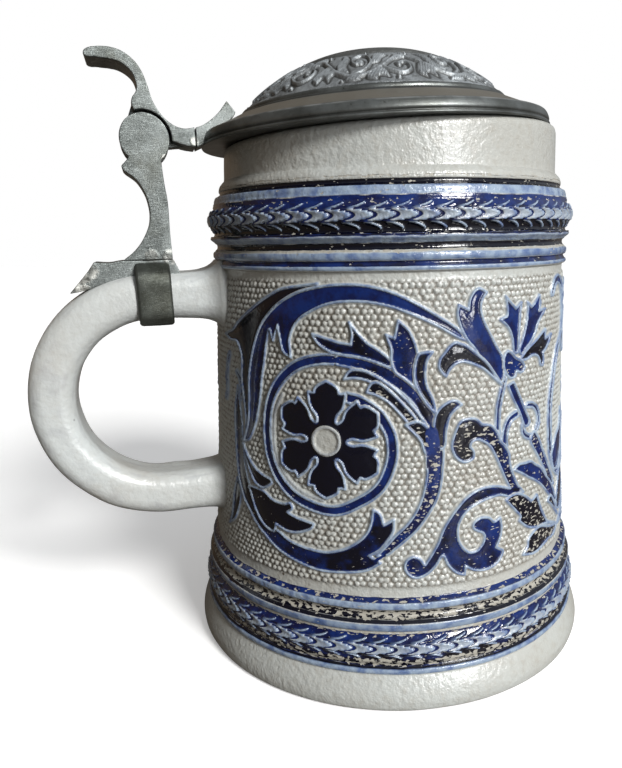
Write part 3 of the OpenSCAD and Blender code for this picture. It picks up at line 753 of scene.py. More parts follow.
def draw_wall(s, z):
    """All relief and glaze on half of the wall, from the handle to the front."""
    relief = Relief(*np.meshgrid(s, z))
    draw_ornament(relief)
    pearl, ground = add_pearls(relief)
    draw_rings(relief)
    for braid in BRAIDS:
        draw_braid(relief, *braid)
    paint = np.stack([relief.cobalt, relief.black, relief.worn, relief.rim], -1)
    # detail holds the pearl and ground masks for the painted shade between the pearls
    detail = np.stack([pearl, ground, np.zeros(pearl.shape), np.ones(pearl.shape)], -1)
    return relief.height, paint, detail


def slope_neck(x, level):
    """Heights above the neck's foot stretched until the mouth slopes towards the handle."""
    share = np.clip((level - NECK_Z) / (MOUTH_Z - NECK_Z), 0, None)
    return np.where(level > NECK_Z, NECK_Z + share * (mouth_height(x) - NECK_Z), level)


def make_mug(material):
    """One skin from the middle of the underside over the wall and the lip into the cavity."""
    outside = resample(MUG_PROFILE, GRID_STEP)
    before = np.array(UNDERSIDE_PROFILE)
    after = np.vstack([resample(LIP_PROFILE, LIP_STEP)[1:],
                       resample(CAVITY_PROFILE, CAVITY_STEP)[1:]])
    psi = np.arange(MUG_COLUMNS) * math.tau / MUG_COLUMNS
    s = psi * UNROLL_R
    half = MUG_COLUMNS // 2 + 1
    mirror = np.concatenate([np.arange(half), np.arange(half - 2, 0, -1)])
    height, paint, detail = (field[:, mirror] for field in draw_wall(s[:half], outside[:, 1]))
    height = height + 0.05 * ripple(*np.meshgrid(s, outside[:, 1]), 13, SEED + 3)
    normal = profile_normals(outside)
    wall_r = np.minimum(outside[:, :1] + height * normal[:, :1], RELIEF_LIMIT_R)
    wall_z = np.maximum(outside[:, 1:] + height * normal[:, 1:], 0)
    radius = np.vstack([np.repeat(before[:, :1], MUG_COLUMNS, 1), wall_r,
                        np.repeat(after[:, :1], MUG_COLUMNS, 1)])
    level = np.vstack([np.repeat(before[:, 1:], MUG_COLUMNS, 1), wall_z,
                       np.repeat(after[:, 1:], MUG_COLUMNS, 1)])
    x, y = -radius * np.cos(psi), -radius * np.sin(psi)
    points = np.stack([x, y, slope_neck(x, level)], -1).reshape(-1, 3)
    mug = mesh_object("mug_body", points, capped_faces(len(radius), MUG_COLUMNS))
    plain_before = np.zeros((len(before), MUG_COLUMNS, 4))
    plain_after = np.zeros((len(after), MUG_COLUMNS, 4))
    add_attribute(mug, "paint", np.vstack([plain_before, paint, plain_after]))
    add_attribute(mug, "detail", np.vstack([plain_before, detail, plain_after]))
    return ride_as(mug, "mug", "relief_stoneware", material, "stoneware_body")


def handle_path():
    """The loop's middle line in X-Z and the direction away from its centre, point by point."""
    arm = np.linspace(HANDLE_ROOT_X, -HANDLE_X, 34)[:-1]
    path = [(-x, HANDLE_Z + HANDLE_BEND_R) for x in arm]
    outward = [(0, 1)] * len(arm)
    for angle in np.linspace(math.pi / 2, -math.pi / 2, 90):
        away = (-math.cos(angle), math.sin(angle))
        path.append((HANDLE_X + HANDLE_BEND_R * away[0], HANDLE_Z + HANDLE_BEND_R * away[1]))
        outward.append(away)
    path += [(-x, HANDLE_Z - HANDLE_BEND_R) for x in arm[::-1]]
    outward += [(0, -1)] * len(arm)
    return path, outward


def handle_section():
    """The bar's rounded cross-section as (outward, sideways) points."""
    flat_u, flat_v = HANDLE_T / 2 - HANDLE_EDGE_R, HANDLE_W / 2 - HANDLE_EDGE_R
    section = []
    for (side_u, side_v), start in (((1, 1), 0), ((-1, 1), 90), ((-1, -1), 180), ((1, -1), 270)):
        for angle in np.radians(np.linspace(start, start + 90, 10)):
            section.append((side_u * flat_u + HANDLE_EDGE_R * math.cos(angle),
                            side_v * flat_v + HANDLE_EDGE_R * math.sin(angle)))
    sides = zip(section, section[1:] + section[:1])
    return np.vstack([np.linspace(a, b, 4)[:-1] for a, b in sides
                      if np.linalg.norm(np.subtract(a, b)) > 1e-6])


def make_handle(material):
    """A rounded bar bent into a loop, thumbed out where it meets the wall."""
    path, outward = handle_path()
    section = handle_section()
    u, v = section.T
    reach = np.hypot(u, v)
    turn = 3 * np.arctan2(v, u)
    grooves = np.exp(-((v - 2.9) / 0.8) ** 2) + np.exp(-((v + 2.9) / 0.8) ** 2)
    ridge = -0.34 * (u > 0) * grooves
    points = []
    for i, ((px, pz), (ox, oz)) in enumerate(zip(path, outward)):
        flare = 2.7 * math.exp(-max(0.0, -px - 42.6) / 2.3)
        wander = 0.10 * ripple(np.full(u.shape, i * 0.9), turn, 9, SEED + 5) - 0.12
        along_u = (u + wander * u / reach + ridge) * (1 + flare / (HANDLE_T / 2))
        along_v = (v + wander * v / reach) * (1 + flare / (HANDLE_W / 2))
        points.append(np.column_stack([px + ox * along_u, along_v, pz + oz * along_u]))
    handle = mesh_object("handle_loop", np.vstack(points), capped_faces(len(path), len(section)))
    return ride_as(handle, "mug", "plain_stoneware", material, "handle")


# ---------- cast pewter pieces ----------

def arc(radius, start, end, count=14):
    """Points around the hinge pin, angles in degrees."""
    return [(PIN_X + radius * math.cos(math.radians(a)), PIN_Z + radius * math.sin(math.radians(a)))
            for a in np.linspace(start, end, count)]


def slab(outline, low_y, high_y):
    """A prism from a closed X-Z outline: its points and faces."""
    outline = np.asarray(outline, float)
    n = len(outline)
    area = np.sum(outline[:, 0] * np.roll(outline[:, 1], -1)
                  - outline[:, 1] * np.roll(outline[:, 0], -1))
    if area < 0:
        outline = outline[::-1]
    front = np.column_stack([outline[:, 0], np.full(n, low_y), outline[:, 1]])
    back = np.column_stack([outline[:, 0], np.full(n, high_y), outline[:, 1]])
    faces = [[i, (i + 1) % n, n + (i + 1) % n, n + i] for i in range(n)]
    faces += [list(range(n))[::-1], list(range(n, 2 * n))]
    return np.vstack([front, back]), faces


def fused(name, slabs):
    """Slabs melted into one casting with softly rounded edges."""
    points, faces = [], []
    for slab_points, slab_faces in slabs:
        shift = sum(len(p) for p in points)
        points.append(slab_points)
        faces += [[shift + i for i in face] for face in slab_faces]
    rough = mesh_object(name + "_rough", np.vstack(points), faces)
    remesh = rough.modifiers.new("melt", "REMESH")
    remesh.mode = "VOXEL"
    remesh.voxel_size = CASTING_GRAIN * MM
    soften = rough.modifiers.new("soften", "SMOOTH")
    soften.factor = 0.5
    soften.iterations = CASTING_SMOOTHING
    evaluated = rough.evaluated_get(bpy.context.evaluated_depsgraph_get())
    mesh = bpy.data.meshes.new_from_object(evaluated)
    mesh.name = name
    bpy.data.objects.remove(rough)
    return link(bpy.data.objects.new(name, smooth_shaded(mesh)))


# X-Z outlines of the castings; a point written twice in a row is a sharp corner
SHANK_RIGHT = [(-52.7, 95.6), (-52.7, 95.6), (-52.8, 101), (-52.7, 107.4), (-53.1, 111.8),
               (-53.3, 115.6)]
SHANK_LEFT = [(-61.3, 114.2), (-59, 112.4), (-57.5, 109.8), (-56.9, 107.4), (-56.8, 105.2),
              (-57.3, 102.8), (-58.9, 99.8), (-61, 97.4), (-63.4, 95.6), (-63.4, 95.6)]
THUMB = [(-58.1, 128.6), (-57.2, 129.8), (-57.1, 131.4), (-57.7, 133.2), (-59.2, 134.6),
         (-61.2, 135.4), (-64.5, 135.7), (-66, 135.7), (-66.8, 136.1), (-66.7, 136.8),
         (-66.1, 137.3), (-64.7, 137.7), (-61.8, 137.8), (-59.2, 137.1), (-57, 135.5),
         (-55.7, 133.6), (-54.8, 131), (-54, 128), (-52.6, 125.6), (-51, 124), (-49.4, 123.1),
         (-47.6, 122.8), (-45.7, 123.1), (-45.7, 123.1), (-45.7, 119.1), (-45.7, 119.1),
         (-48, 119.4)]
TANG = [(-50.9, 91), (-50.9, 91), (-51.6, 93.4), (-52.6, 95.6), (-52.6, 95.6), (-58, 95.5),
        (-63.4, 95.6), (-66.6, 95.2), (-69.6, 95.4), (-69.6, 95.4), (-71.4, 93.1), (-75.4, 88.8),
        (-75.4, 88.8), (-71.6, 89.5), (-68, 90.6), (-64, 91), (-58, 91)]
TONGUE = [(-45.5, 119.1), (-45.5, 119.1), (-45.5, 123.1), (-45.5, 123.1), (-43.8, 123.7),
          (-41.9, 124.9), (-40.2, 126.4), (-38.4, 128.6), (-38.4, 128.6), (-36.6, 126.4),
          (-36.6, 126.4), (-37.4, 125.2), (-41.4, 122), (-43, 120.3)]


def make_shank(material):
    """Two lugs with a slot between them on an upright web, and the spur that stops the lever."""
    spur = arc(SPUR_R, SPUR_ANGLE, SPUR_ANGLE, 1) * 2
    lug = arc(LUG_R, -52, SPUR_ANGLE, 40)
    fork = smooth_outline(SHANK_RIGHT + lug + spur + SHANK_LEFT, OUTLINE_STEP)
    saddle = arc(SADDLE_R, -56, SPUR_ANGLE - 360, 16)
    web = smooth_outline(SHANK_RIGHT + [saddle[0]] + saddle + [saddle[-1]] + spur + SHANK_LEFT,
                         OUTLINE_STEP)
    lug_in, lug_out = SLOT_W / 2, HINGE_W / 2
    shank = fused("shank", [slab(fork, -lug_out, -lug_in), slab(fork, lug_in, lug_out),
                            slab(web, -lug_in - 0.1, lug_in + 0.1)])
    return ride_as(shank, "mug", "cast_pewter", material, "hinge_shank")


def make_lever(material):
    """The thumblift over the lugs and the knuckle between them, in one casting."""
    heel = arc(HEEL_R, HEEL_ANGLE, HEEL_ANGLE, 1) * 2
    saddle = arc(LEVER_SADDLE_R, -4, HEEL_ANGLE, 20)
    root = [(PIN_X, PIN_Z - 2), (PIN_X, PIN_Z - 2), (PIN_X - 3, PIN_Z + 3)]
    cheek = smooth_outline(heel + THUMB + [saddle[0]] + saddle + [saddle[-1]], OUTLINE_STEP)
    middle = smooth_outline(heel + THUMB + root, OUTLINE_STEP)
    knuckle = arc(KNUCKLE_R, 0, 350, 36)
    web, full = KNUCKLE_W / 2, HINGE_W / 2
    lever = fused("thumblift", [slab(cheek, -full, full), slab(middle, -web, web),
                                slab(knuckle, -web, web)])
    return ride_as(lever, "lid", "cast_pewter", material, "thumb_lever")


def make_tongue(material):
    tongue = fused("lid_bridge", [slab(smooth_outline(TONGUE, OUTLINE_STEP), -4.0, 4.0)])
    return ride_as(tongue, "lid", "cast_pewter", material, "lid_tongue")


def make_tang(material):
    tang = fused("tang", [slab(smooth_outline(TANG, OUTLINE_STEP), -HINGE_W / 2, HINGE_W / 2)])
    return ride_as(tang, "mug", "cast_pewter", material, "strap_tang")


STRAP_X = -57.4
STRAP_HALF_W, STRAP_LOW, STRAP_HIGH = 8.1, 81.2, 94.6
# one half of the band's outline from the bottom up: (distance in from the side, height)
STRAP_SIDE = [(2.2, STRAP_LOW), (0.6, STRAP_LOW + 1.1), (0, STRAP_LOW + 2.6), (0, 88),
              (0, STRAP_HIGH - 3.4), (0.7, STRAP_HIGH - 1.6), (2.3, STRAP_HIGH - 0.3),
              (3.6, STRAP_HIGH + 0.35)]
# cross-section of the band: (place along X, depth below its outer face)
STRAP_WALL = [(-3.8, 1.3), (-3.8, 0.5), (-3.55, 0.14), (-3.1, 0.0), (-1.5, -0.03), (0, -0.05),
              (1.5, -0.03), (3.1, 0.0), (3.55, 0.14), (3.8, 0.5), (3.8, 1.3)]


def make_strap(material):
    """A flat band with bevelled edges, made straight as one block around the handle and the tang."""
    right = [(STRAP_HALF_W - inset, z) for inset, z in STRAP_SIDE]
    left = [(inset - STRAP_HALF_W, z) for inset, z in STRAP_SIDE]
    outline = smooth_outline(left[:1] + [(0, STRAP_LOW - 0.05)] + right
                             + [(0, STRAP_HIGH + 1.2)] + left[:0:-1])
    edge = np.gradient(np.vstack([outline[-1:], outline, outline[:1]]), axis=0)[1:-1]
    edge = edge / np.linalg.norm(edge, axis=1)[:, None]
    inward = np.column_stack([-edge[:, 1], edge[:, 0]])
    points = []
    for x, depth in STRAP_WALL:
        ring = outline + inward * depth
        points.append(np.column_stack([np.full(len(ring), STRAP_X + x), ring[:, 0], ring[:, 1]]))
    count, columns = len(STRAP_WALL), len(outline)
    index = np.arange(count * columns).reshape(count, columns)
    after = np.roll(index, -1, axis=1)
    inner_face = np.stack([index[-1], after[-1], after[0], index[0]], -1).tolist()
    strap = mesh_object("strap", np.vstack(points), wrapped_faces(count, columns) + inner_face)
    return ride_as(strap, "mug", "cast_pewter", material, "handle_strap")


# a plug's outline: (radius, distance out from the lug's face)
PLUG_PROFILE = [
    (0.25, -0.01), (1.0, -0.01), (1.7, -0.015), (2.1, -0.02), (2.3, -0.05), (2.38, -0.1),
    (2.4, -0.3), (2.4, -0.78), (0.25, -0.78),
]


def make_cap(name, side, node, material):
    """A plug over the end of the pin, filed flush, with a faint crease around it."""
    points = []
    for r, lift in PLUG_PROFILE:
        for a in np.arange(CAP_COLUMNS) * math.tau / CAP_COLUMNS:
            points.append((PIN_X + r * math.cos(a) * side, side * (HINGE_W / 2 + lift),
                           PIN_Z + r * math.sin(a)))
    faces = [face[::-1] for face in capped_faces(len(PLUG_PROFILE), CAP_COLUMNS)]
    cap = mesh_object(name, points, faces)
    return ride_as(cap, "mug", "cast_pewter", material, node)


# ---------- lid ----------

RING_PROFILE = [
    (28.6, 6.2), (28.6, 2), (28.6, -2.4), (28.8, -2.6), (30.8, -2.6), (31, -2.4), (31, -0.2),
    (31.2, 0), (36, 0), (40.15, 0), (40.5, 0.1), (40.58, 0.32), (40.45, 0.52), (40.1, 0.62),
    (40.05, 0.8), (40.3, 0.95), (40.38, 1.2), (40.3, 1.6), (40.05, 2.2), (39.8, 2.6),
    (39.6, 2.82), (39.3, 2.95), (38.9, 2.98), (38.3, 3.2), (36.0, 4.2), (33.2, 5.42), (32.5, 5.72),
    (32.2, 5.68), (31.95, 5.86), (31.65, 6.2), (31.35, 6.26), (31.15, 6.1), (30.95, 6.3),
    (30.85, 6.8), (30.5, 7.18), (30.2, 7.26), (29.9, 7.3),
]


def on_lid(radius, level, angle):
    """Frame position of points given around the lid's axis."""
    x, y = radius * np.cos(angle), radius * np.sin(angle)
    c, s = math.cos(MOUTH_TILT), math.sin(MOUTH_TILT)
    return np.stack([c * x - s * level - LID_SHIFT, y,
                     s * x + c * level + MOUTH_Z - LID_SHIFT * math.tan(MOUTH_TILT)], -1)


def make_lid_ring(material):
    profile = resample(RING_PROFILE, 0.22)
    angle = np.arange(RING_COLUMNS) * math.tau / RING_COLUMNS
    r, a = np.meshgrid(profile[:, 0], angle, indexing="ij")
    z = np.repeat(profile[:, 1:], RING_COLUMNS, 1)
    top = smoothstep(2.4, 3.6, z)
    z = z - top * (0.04 + 0.035 * ripple(a * 36, r, 11, SEED + 8))
    points = on_lid(r, z, a).reshape(-1, 3)
    ring = mesh_object("lid_rim", points, wrapped_faces(len(profile), RING_COLUMNS))
    outer = r > 32
    # flat_top marks the sloping top that gets the painted brown reflection
    flat_top = smoothstep(3.0, 3.3, z) * (1 - smoothstep(5.5, 5.75, z)) * outer
    # edge marks the corner bevel that gets the painted highlight
    edge = np.exp(-(((z - 2.86) / 0.18) ** 2)) * outer
    # beads marks the two grooves that are painted darker
    beads = np.exp(-(((z - 5.95) / 0.2) ** 2)) + np.exp(-(((z - 0.66) / 0.12) ** 2)) * outer
    add_attribute(ring, "detail", np.stack([flat_top, edge, beads, np.ones(z.shape)], -1))
    return ride_as(ring, "lid", "lid_pewter", material, "lid_ring")


# one repeat of the dome's scroll as (distance around, distance from the lid's axis)
DOME_REPEATS = 8
VINE = [(0, 21.2), (3.2, 23.6), (6.6, 26.4), (10.4, 27.9), (14.6, 27.4), (18, 25.2), (21, 22.8),
        (23.6, 21.2), (26.18, 21.2)]
VINE_CURL = [(10.4, 27.9), (13.6, 26.2), (15.2, 23.6), (14.6, 21), (12.4, 19.8), (10.2, 20.8),
             (9.8, 22.8), (11.2, 24), (12.6, 23.4)]
VINE_CURL_LOW = [(18, 25.2), (20.4, 26.8), (23, 27.6), (25.2, 26.6), (25.6, 24.8), (24.2, 23.8),
                 (22.8, 24.6)]
DOME_LEAVES = [
    [(3.2, 23.6), (3.2, 23.6), (1.6, 25.2), (0.6, 27.6), (2.4, 29), (2.4, 29), (3.2, 27.4),
     (5.2, 28.8), (5.2, 28.8), (5.6, 27), (6.6, 26.4)],
    [(6.6, 26.4), (6.6, 26.4), (5.6, 23.6), (6.2, 21), (5, 19), (5, 19), (7.6, 19.6), (8.6, 21.6),
     (8.4, 24.2), (9.6, 26.6)],
    [(14.6, 27.4), (14.6, 27.4), (14.2, 28.6), (16.6, 29.3), (16.6, 29.3), (17.2, 28), (19.6, 28.6),
     (19.6, 28.6), (19, 26.6), (17.4, 25.6)],
    [(15.4, 23.8), (15.4, 23.8), (17.6, 23.4), (18.8, 21.4), (20.8, 20), (20.8, 20), (18.4, 18.9),
     (16.2, 19.6), (15.6, 21.6)],
    [(21, 22.8), (21, 22.8), (22.4, 20.4), (24.6, 19), (27.2, 19.4), (27.2, 19.4), (25.6, 21),
     (23.8, 22.4)],
    [(10.4, 27.9), (10.4, 27.9), (9, 28.8), (10.6, 29.4), (12.8, 29), (12.4, 27.9)],
]
DOME_STEMS = [(VINE, 0.5), (VINE_CURL, 0.42), (VINE_CURL_LOW, 0.4)]
# each small knob: (distance around, distance from the axis, its radius)
DOME_KNOBS = [(12.4, 23.4, 0.9), (22.8, 24.6, 0.8), (1.2, 19.6, 0.6), (13.6, 19, 0.5),
              (8.6, 29.2, 0.4), (21.6, 28.9, 0.45)]


def dome_relief(angle, radius):
    """Height of the leaf scroll over the dome and how deep each point lies beside a motif."""
    period = VINE[-1][0]
    s = np.mod(angle * DOME_REPEATS * period / math.tau, period)
    height = np.zeros(s.shape)
    nearest = np.full(s.shape, 9.0)
    for shift in (-period, 0, period):
        x = s - shift
        for leaf in DOME_LEAVES:
            d = outline_distance(x, radius, smooth_outline(leaf, 0.6))
            vein = 0.2 * np.sin(8.6 * x + 5.4 * radius)
            height = np.maximum(height, (0.3 + 0.7 * vein) * smoothstep(0.1, -0.5, d))
            nearest = np.minimum(nearest, d)
        for line, width in DOME_STEMS:
            d = line_distance(x, radius, smooth_line(line, 0.6)) - width
            height = np.maximum(height, 0.4 * smoothstep(0.15, -0.35, d))
            nearest = np.minimum(nearest, d)
        for cx, cy, size in DOME_KNOBS:
            d = np.hypot(x - cx, radius - cy) - size
            height = np.maximum(height, 0.55 * np.sqrt(np.clip(-d / size, 0, 1)))
            nearest = np.minimum(nearest, d)
    groove = np.exp(-((nearest - 0.25) / 0.26) ** 2)
    return height - 0.2 * groove, groove


def sphere_level(radius, sphere_r):
    """Height of a sphere about the dome's centre, at a distance from the lid's axis."""
    return DOME_TOP - DOME_SPHERE_R + np.sqrt(sphere_r**2 - radius**2)


def make_dome(material):
    """A spherical cap with its scroll and a plain crown above, and a smooth hollow below."""
    radii = np.concatenate([np.arange(0.4, 17.5, 0.6), np.arange(17.5, DOME_R, 0.16), [DOME_R]])
    angle = np.arange(DOME_COLUMNS) * math.tau / DOME_COLUMNS
    r, a = np.meshgrid(radii, angle, indexing="ij")
    band = smoothstep(17.6, 18.6, r)
    inside = band * (1 - smoothstep(29.2, 29.7, r))
    height, groove = (field * inside for field in dome_relief(a, r))
    rise = height + 0.3 * smoothstep(5, 14, r) * (1 - smoothstep(17.2, 17.9, r))
    outer_r = np.minimum(r + rise * r / DOME_SPHERE_R, DOME_R)
    outer_z = sphere_level(r, DOME_SPHERE_R) + rise * np.sqrt(1 - (r / DOME_SPHERE_R) ** 2)
    hollow = np.arange(DOME_R - 1, 0.3, -2.0)
    hollow_z = np.maximum(sphere_level(hollow, DOME_SPHERE_R - DOME_THICK), DOME_SEAT_Z)
    under_r = np.concatenate([[DOME_R, DOME_R - 1], hollow])[:, None]
    under_z = np.concatenate([[DOME_SEAT_Z, DOME_SEAT_Z], hollow_z])[:, None]
    radius = np.vstack([outer_r, np.repeat(under_r, DOME_COLUMNS, 1)])
    level = np.vstack([outer_z, np.repeat(under_z, DOME_COLUMNS, 1)])
    rows = len(radius)
    points = on_lid(radius, level, np.repeat(angle[None, :], rows, 0)).reshape(-1, 3)
    faces = [face[::-1] for face in capped_faces(rows, DOME_COLUMNS)]
    dome = mesh_object("lid_cap", points, faces)
    # the band channel sets the scroll band apart from the crown, which the material paints with shade
    shade = np.zeros((rows, DOME_COLUMNS, 4))
    # the raised height feeds the painted highlight on the scroll tops
    shade[: len(radii), :, :3] = np.stack([groove, np.clip(height, 0, 1), band], -1)
    add_attribute(dome, "detail", shade)
    return ride_as(dome, "lid", "lid_pewter", material, "lid_dome")


# ---------- materials ----------

# bright metal on the hinge castings: (place in millimetres, reach, strength)
BRIGHT_SPOTS = [
    ((-73.6, -4.5, 91.0), 3.6, 0.95),
    ((-70.6, -4.5, 93.6), 2.2, 0.8),
    ((-73.6, 4.5, 91.0), 3.6, 0.95),
    ((-53.2, -4.5, 96.2), 2.0, 0.6),
    ((-57.2, -4.5, 96.4), 1.8, 0.5),
    ((-52.4, -4.5, 116.6), 1.1, 0.9),
    ((-46.0, -4.2, 120.2), 1.2, 0.6),
]


class Nodes:
    """Short names for the nodes that the materials use."""

    def __init__(self, name):
        self.material = bpy.data.materials.new(name)
        self.material.use_nodes = True
        self.tree = self.material.node_tree
        self.tree.nodes.clear()
        self.shader = self.tree.nodes.new("ShaderNodeBsdfPrincipled")
        output = self.tree.nodes.new("ShaderNodeOutputMaterial")
        self.join(self.shader.outputs["BSDF"], output.inputs["Surface"])
        self.place = self.tree.nodes.new("ShaderNodeTexCoord").outputs["Object"]

    def join(self, source, target):
        if isinstance(source, (int, float, tuple)):
            target.default_value = source
        else:
            self.tree.links.new(source, target)

    def noise(self, scale, detail=2.0, roughness=0.5, place=None):
        node = self.tree.nodes.new("ShaderNodeTexNoise")
        node.inputs["Scale"].default_value = scale
        node.inputs["Detail"].default_value = detail
        node.inputs["Roughness"].default_value = roughness
        self.join(place or self.place, node.inputs["Vector"])
        return node.outputs["Fac"]

    def scratches(self, scale, stretch, turn):
        """Noise drawn out into lines."""
        node = self.tree.nodes.new("ShaderNodeMapping")
        node.inputs["Scale"].default_value = stretch
        node.inputs["Rotation"].default_value = turn
        self.join(self.place, node.inputs["Vector"])
        return self.noise(scale, 2, 0.5, node.outputs["Vector"])

    def cells(self, scale):
        node = self.tree.nodes.new("ShaderNodeTexVoronoi")
        node.inputs["Scale"].default_value = scale
        self.join(self.place, node.inputs["Vector"])
        return node.outputs["Distance"]

    def steps(self, source, low, high):
        """A smooth step from 0 at low to 1 at high."""
        node = self.tree.nodes.new("ShaderNodeMapRange")
        node.interpolation_type = "SMOOTHSTEP"
        self.join(source, node.inputs["Value"])
        self.join(low, node.inputs["From Min"])
        self.join(high, node.inputs["From Max"])
        return node.outputs["Result"]

    def between(self, source, low, high):
        """Source from 0 to 1 turned into low to high."""
        node = self.tree.nodes.new("ShaderNodeMapRange")
        self.join(source, node.inputs["Value"])
        node.inputs["To Min"].default_value = low
        node.inputs["To Max"].default_value = high
        return node.outputs["Result"]

    def math(self, operation, a, b):
        node = self.tree.nodes.new("ShaderNodeMath")
        node.operation = operation
        self.join(a, node.inputs[0])
        self.join(b, node.inputs[1])
        return node.outputs[0]

    def times(self, a, b):
        return self.math("MULTIPLY", a, b)

    def plus(self, a, b):
        return self.math("ADD", a, b)

    def minus(self, a, b):
        return self.math("SUBTRACT", a, b)

    def mix(self, factor, a, b):
        node = self.tree.nodes.new("ShaderNodeMix")
        node.data_type = "RGBA"
        self.join(factor, node.inputs["Factor"])
        self.join(a, node.inputs[6])
        self.join(b, node.inputs[7])
        return node.outputs[2]

    def channels(self, name):
        """Red, green, blue and alpha of a vertex attribute."""
        node = self.tree.nodes.new("ShaderNodeAttribute")
        node.attribute_name = name
        split = self.tree.nodes.new("ShaderNodeSeparateColor")
        self.join(node.outputs["Color"], split.inputs["Color"])
        return split.outputs[0], split.outputs[1], split.outputs[2], node.outputs["Alpha"]

    def near(self, place, reach):
        """1 at a place given in millimetres, falling to 0 at the reach."""
        node = self.tree.nodes.new("ShaderNodeVectorMath")
        node.operation = "DISTANCE"
        self.join(self.place, node.inputs[0])
        node.inputs[1].default_value = [value * MM for value in place]
        return self.steps(node.outputs["Value"], reach * MM, 0.6 * reach * MM)

    def bump(self, height, strength, distance, normal=None):
        node = self.tree.nodes.new("ShaderNodeBump")
        node.inputs["Strength"].default_value = strength
        node.inputs["Distance"].default_value = distance
        self.join(height, node.inputs["Height"])
        if normal is not None:
            self.join(normal, node.inputs["Normal"])
        return node.outputs["Normal"]

    def finish(self, colour, roughness, normal, **sockets):
        self.join(colour, self.shader.inputs["Base Color"])
        self.join(roughness, self.shader.inputs["Roughness"])
        self.join(normal, self.shader.inputs["Normal"])
        for socket, value in sockets.items():
            self.shader.inputs[socket.replace("_", " ")].default_value = value
        return self.material


def clay_colour(n):
    """Grey salt-glazed clay: warm and pale clouds, fine mottling and rare iron specks."""
    cloud = n.steps(n.noise(28, 3), 0.35, 0.7)
    colour = n.mix(cloud, CLAY_PALE, CLAY_CLOUD)
    mottle = n.steps(n.noise(620, 3, 0.65), 0.42, 0.78)
    colour = n.mix(n.times(mottle, 0.32), colour, CLAY_WARM)
    speck = n.minus(1.0, n.steps(n.cells(165), 0.035, 0.075))
    chance = n.steps(n.noise(120, 1), 0.52, 0.6)
    return n.mix(n.times(speck, chance), colour, SPECK)


def relief_stoneware():
    n = Nodes("relief stoneware")
    cobalt, black, worn, rim = n.channels("paint")
    pearl, ground, _, _ = n.channels("detail")
    clay = clay_colour(n)
    # painted shade: the ground between the pearls is darkened as if shadowed by them
    crevice_shade = n.times(ground, n.minus(1.0, n.steps(pearl, 0.0, 0.45)))
    clay = n.mix(n.times(crevice_shade, 0.72), clay, PAINTED_SHADE_CREVICE)
    pool = n.steps(n.noise(260, 4, 0.6), 0.34, 0.66)
    blue = n.mix(pool, COBALT_THIN, COBALT)
    edge = n.plus(black, n.between(n.noise(190, 4, 0.6), -0.42, 0.42))
    blue = n.mix(n.steps(edge, 0.35, 0.62), blue, GLAZE_BLACK)
    pale = n.mix(n.steps(n.noise(420, 3), 0.38, 0.7), RIM_PALE, RIM_BLUE)
    rim_cover = n.times(n.steps(rim, 0.1, 0.8), 0.86)
    ragged = n.plus(cobalt, n.between(n.noise(520, 3), -0.2, 0.2))
    colour = n.mix(n.steps(ragged, 0.3, 0.62), clay, blue)
    colour = n.mix(rim_cover, colour, pale)
    grit = n.scratches(850, (1.0, 1.0, 2.0), (0, 0, 0))
    bare = n.steps(n.minus(n.between(worn, 0.30, 0.78), grit), 0.0, 0.05)
    bare = n.times(bare, n.steps(worn, 0.01, 0.03))
    colour = n.mix(bare, colour, BARE_CLAY)
    gloss = n.between(n.steps(cobalt, 0.2, 0.8), 0.31, 0.11)
    roughness = n.plus(gloss, n.between(n.noise(330, 3), -0.05, 0.09))
    roughness = n.plus(roughness, n.times(bare, 0.3))
    peel = n.plus(n.noise(900, 2, 0.5), n.times(n.noise(2400, 2), 0.3))
    peel = n.times(peel, n.between(n.steps(cobalt, 0.2, 0.8), 1.0, 0.3))
    normal = n.bump(peel, 0.5, 0.0005)
    normal = n.bump(n.minus(1.0, bare), 0.5, 0.0002, normal)
    return n.finish(colour, roughness, normal, Specular_IOR_Level=0.5, Coat_Weight=0.15,
                    Coat_Roughness=0.06)


def plain_stoneware():
    n = Nodes("plain stoneware")
    clay = n.mix(0.3, clay_colour(n), HANDLE_PALE)
    stain = n.steps(n.noise(52, 4, 0.6), 0.5, 0.8)
    clay = n.mix(n.times(stain, 0.45), clay, HANDLE_STAIN)
    streak = n.steps(n.scratches(160, (1.0, 7.0, 1.0), (0, 0, 0)), 0.5, 0.75)
    clay = n.mix(n.times(streak, 0.3), clay, HANDLE_STREAK)
    roughness = n.between(n.noise(300, 3), 0.22, 0.4)
    peel = n.plus(n.noise(900, 2, 0.5), n.times(n.noise(170, 2), 1.2))
    return n.finish(clay, roughness, n.bump(peel, 0.4, 0.0004), Specular_IOR_Level=0.5,
                    Coat_Weight=0.2, Coat_Roughness=0.1)


def pewter_skin(n, tone, dark, mark):
    """Dull cast tin alloy: patina clouds, slanting file scratches and small dark pits."""
    cloud = n.steps(n.noise(120, 5, 0.62), 0.36, 0.66)
    colour = n.mix(cloud, dark, tone)
    scratch = n.scratches(520, (1.6, 1.0, 26.0), (0, 0.75, 0))
    cross = n.scratches(610, (24.0, 1.0, 1.4), (0, 0.35, 0))
    bright = (tone[0] * 1.7, tone[1] * 1.7, tone[2] * 1.7, 1)
    lines = n.math("MAXIMUM", n.steps(scratch, 0.58, 0.7), n.steps(cross, 0.62, 0.72))
    colour = n.mix(n.times(lines, mark), colour, bright)
    pits = n.steps(n.noise(900, 3, 0.7), 0.64, 0.74)
    colour = n.mix(n.times(pits, 0.6), colour, CAST_PIT)
    height = n.times(n.plus(scratch, cross), mark)
    height = n.plus(height, n.times(n.noise(330, 4, 0.6), 1.1))
    return colour, n.minus(height, n.times(pits, 0.5))


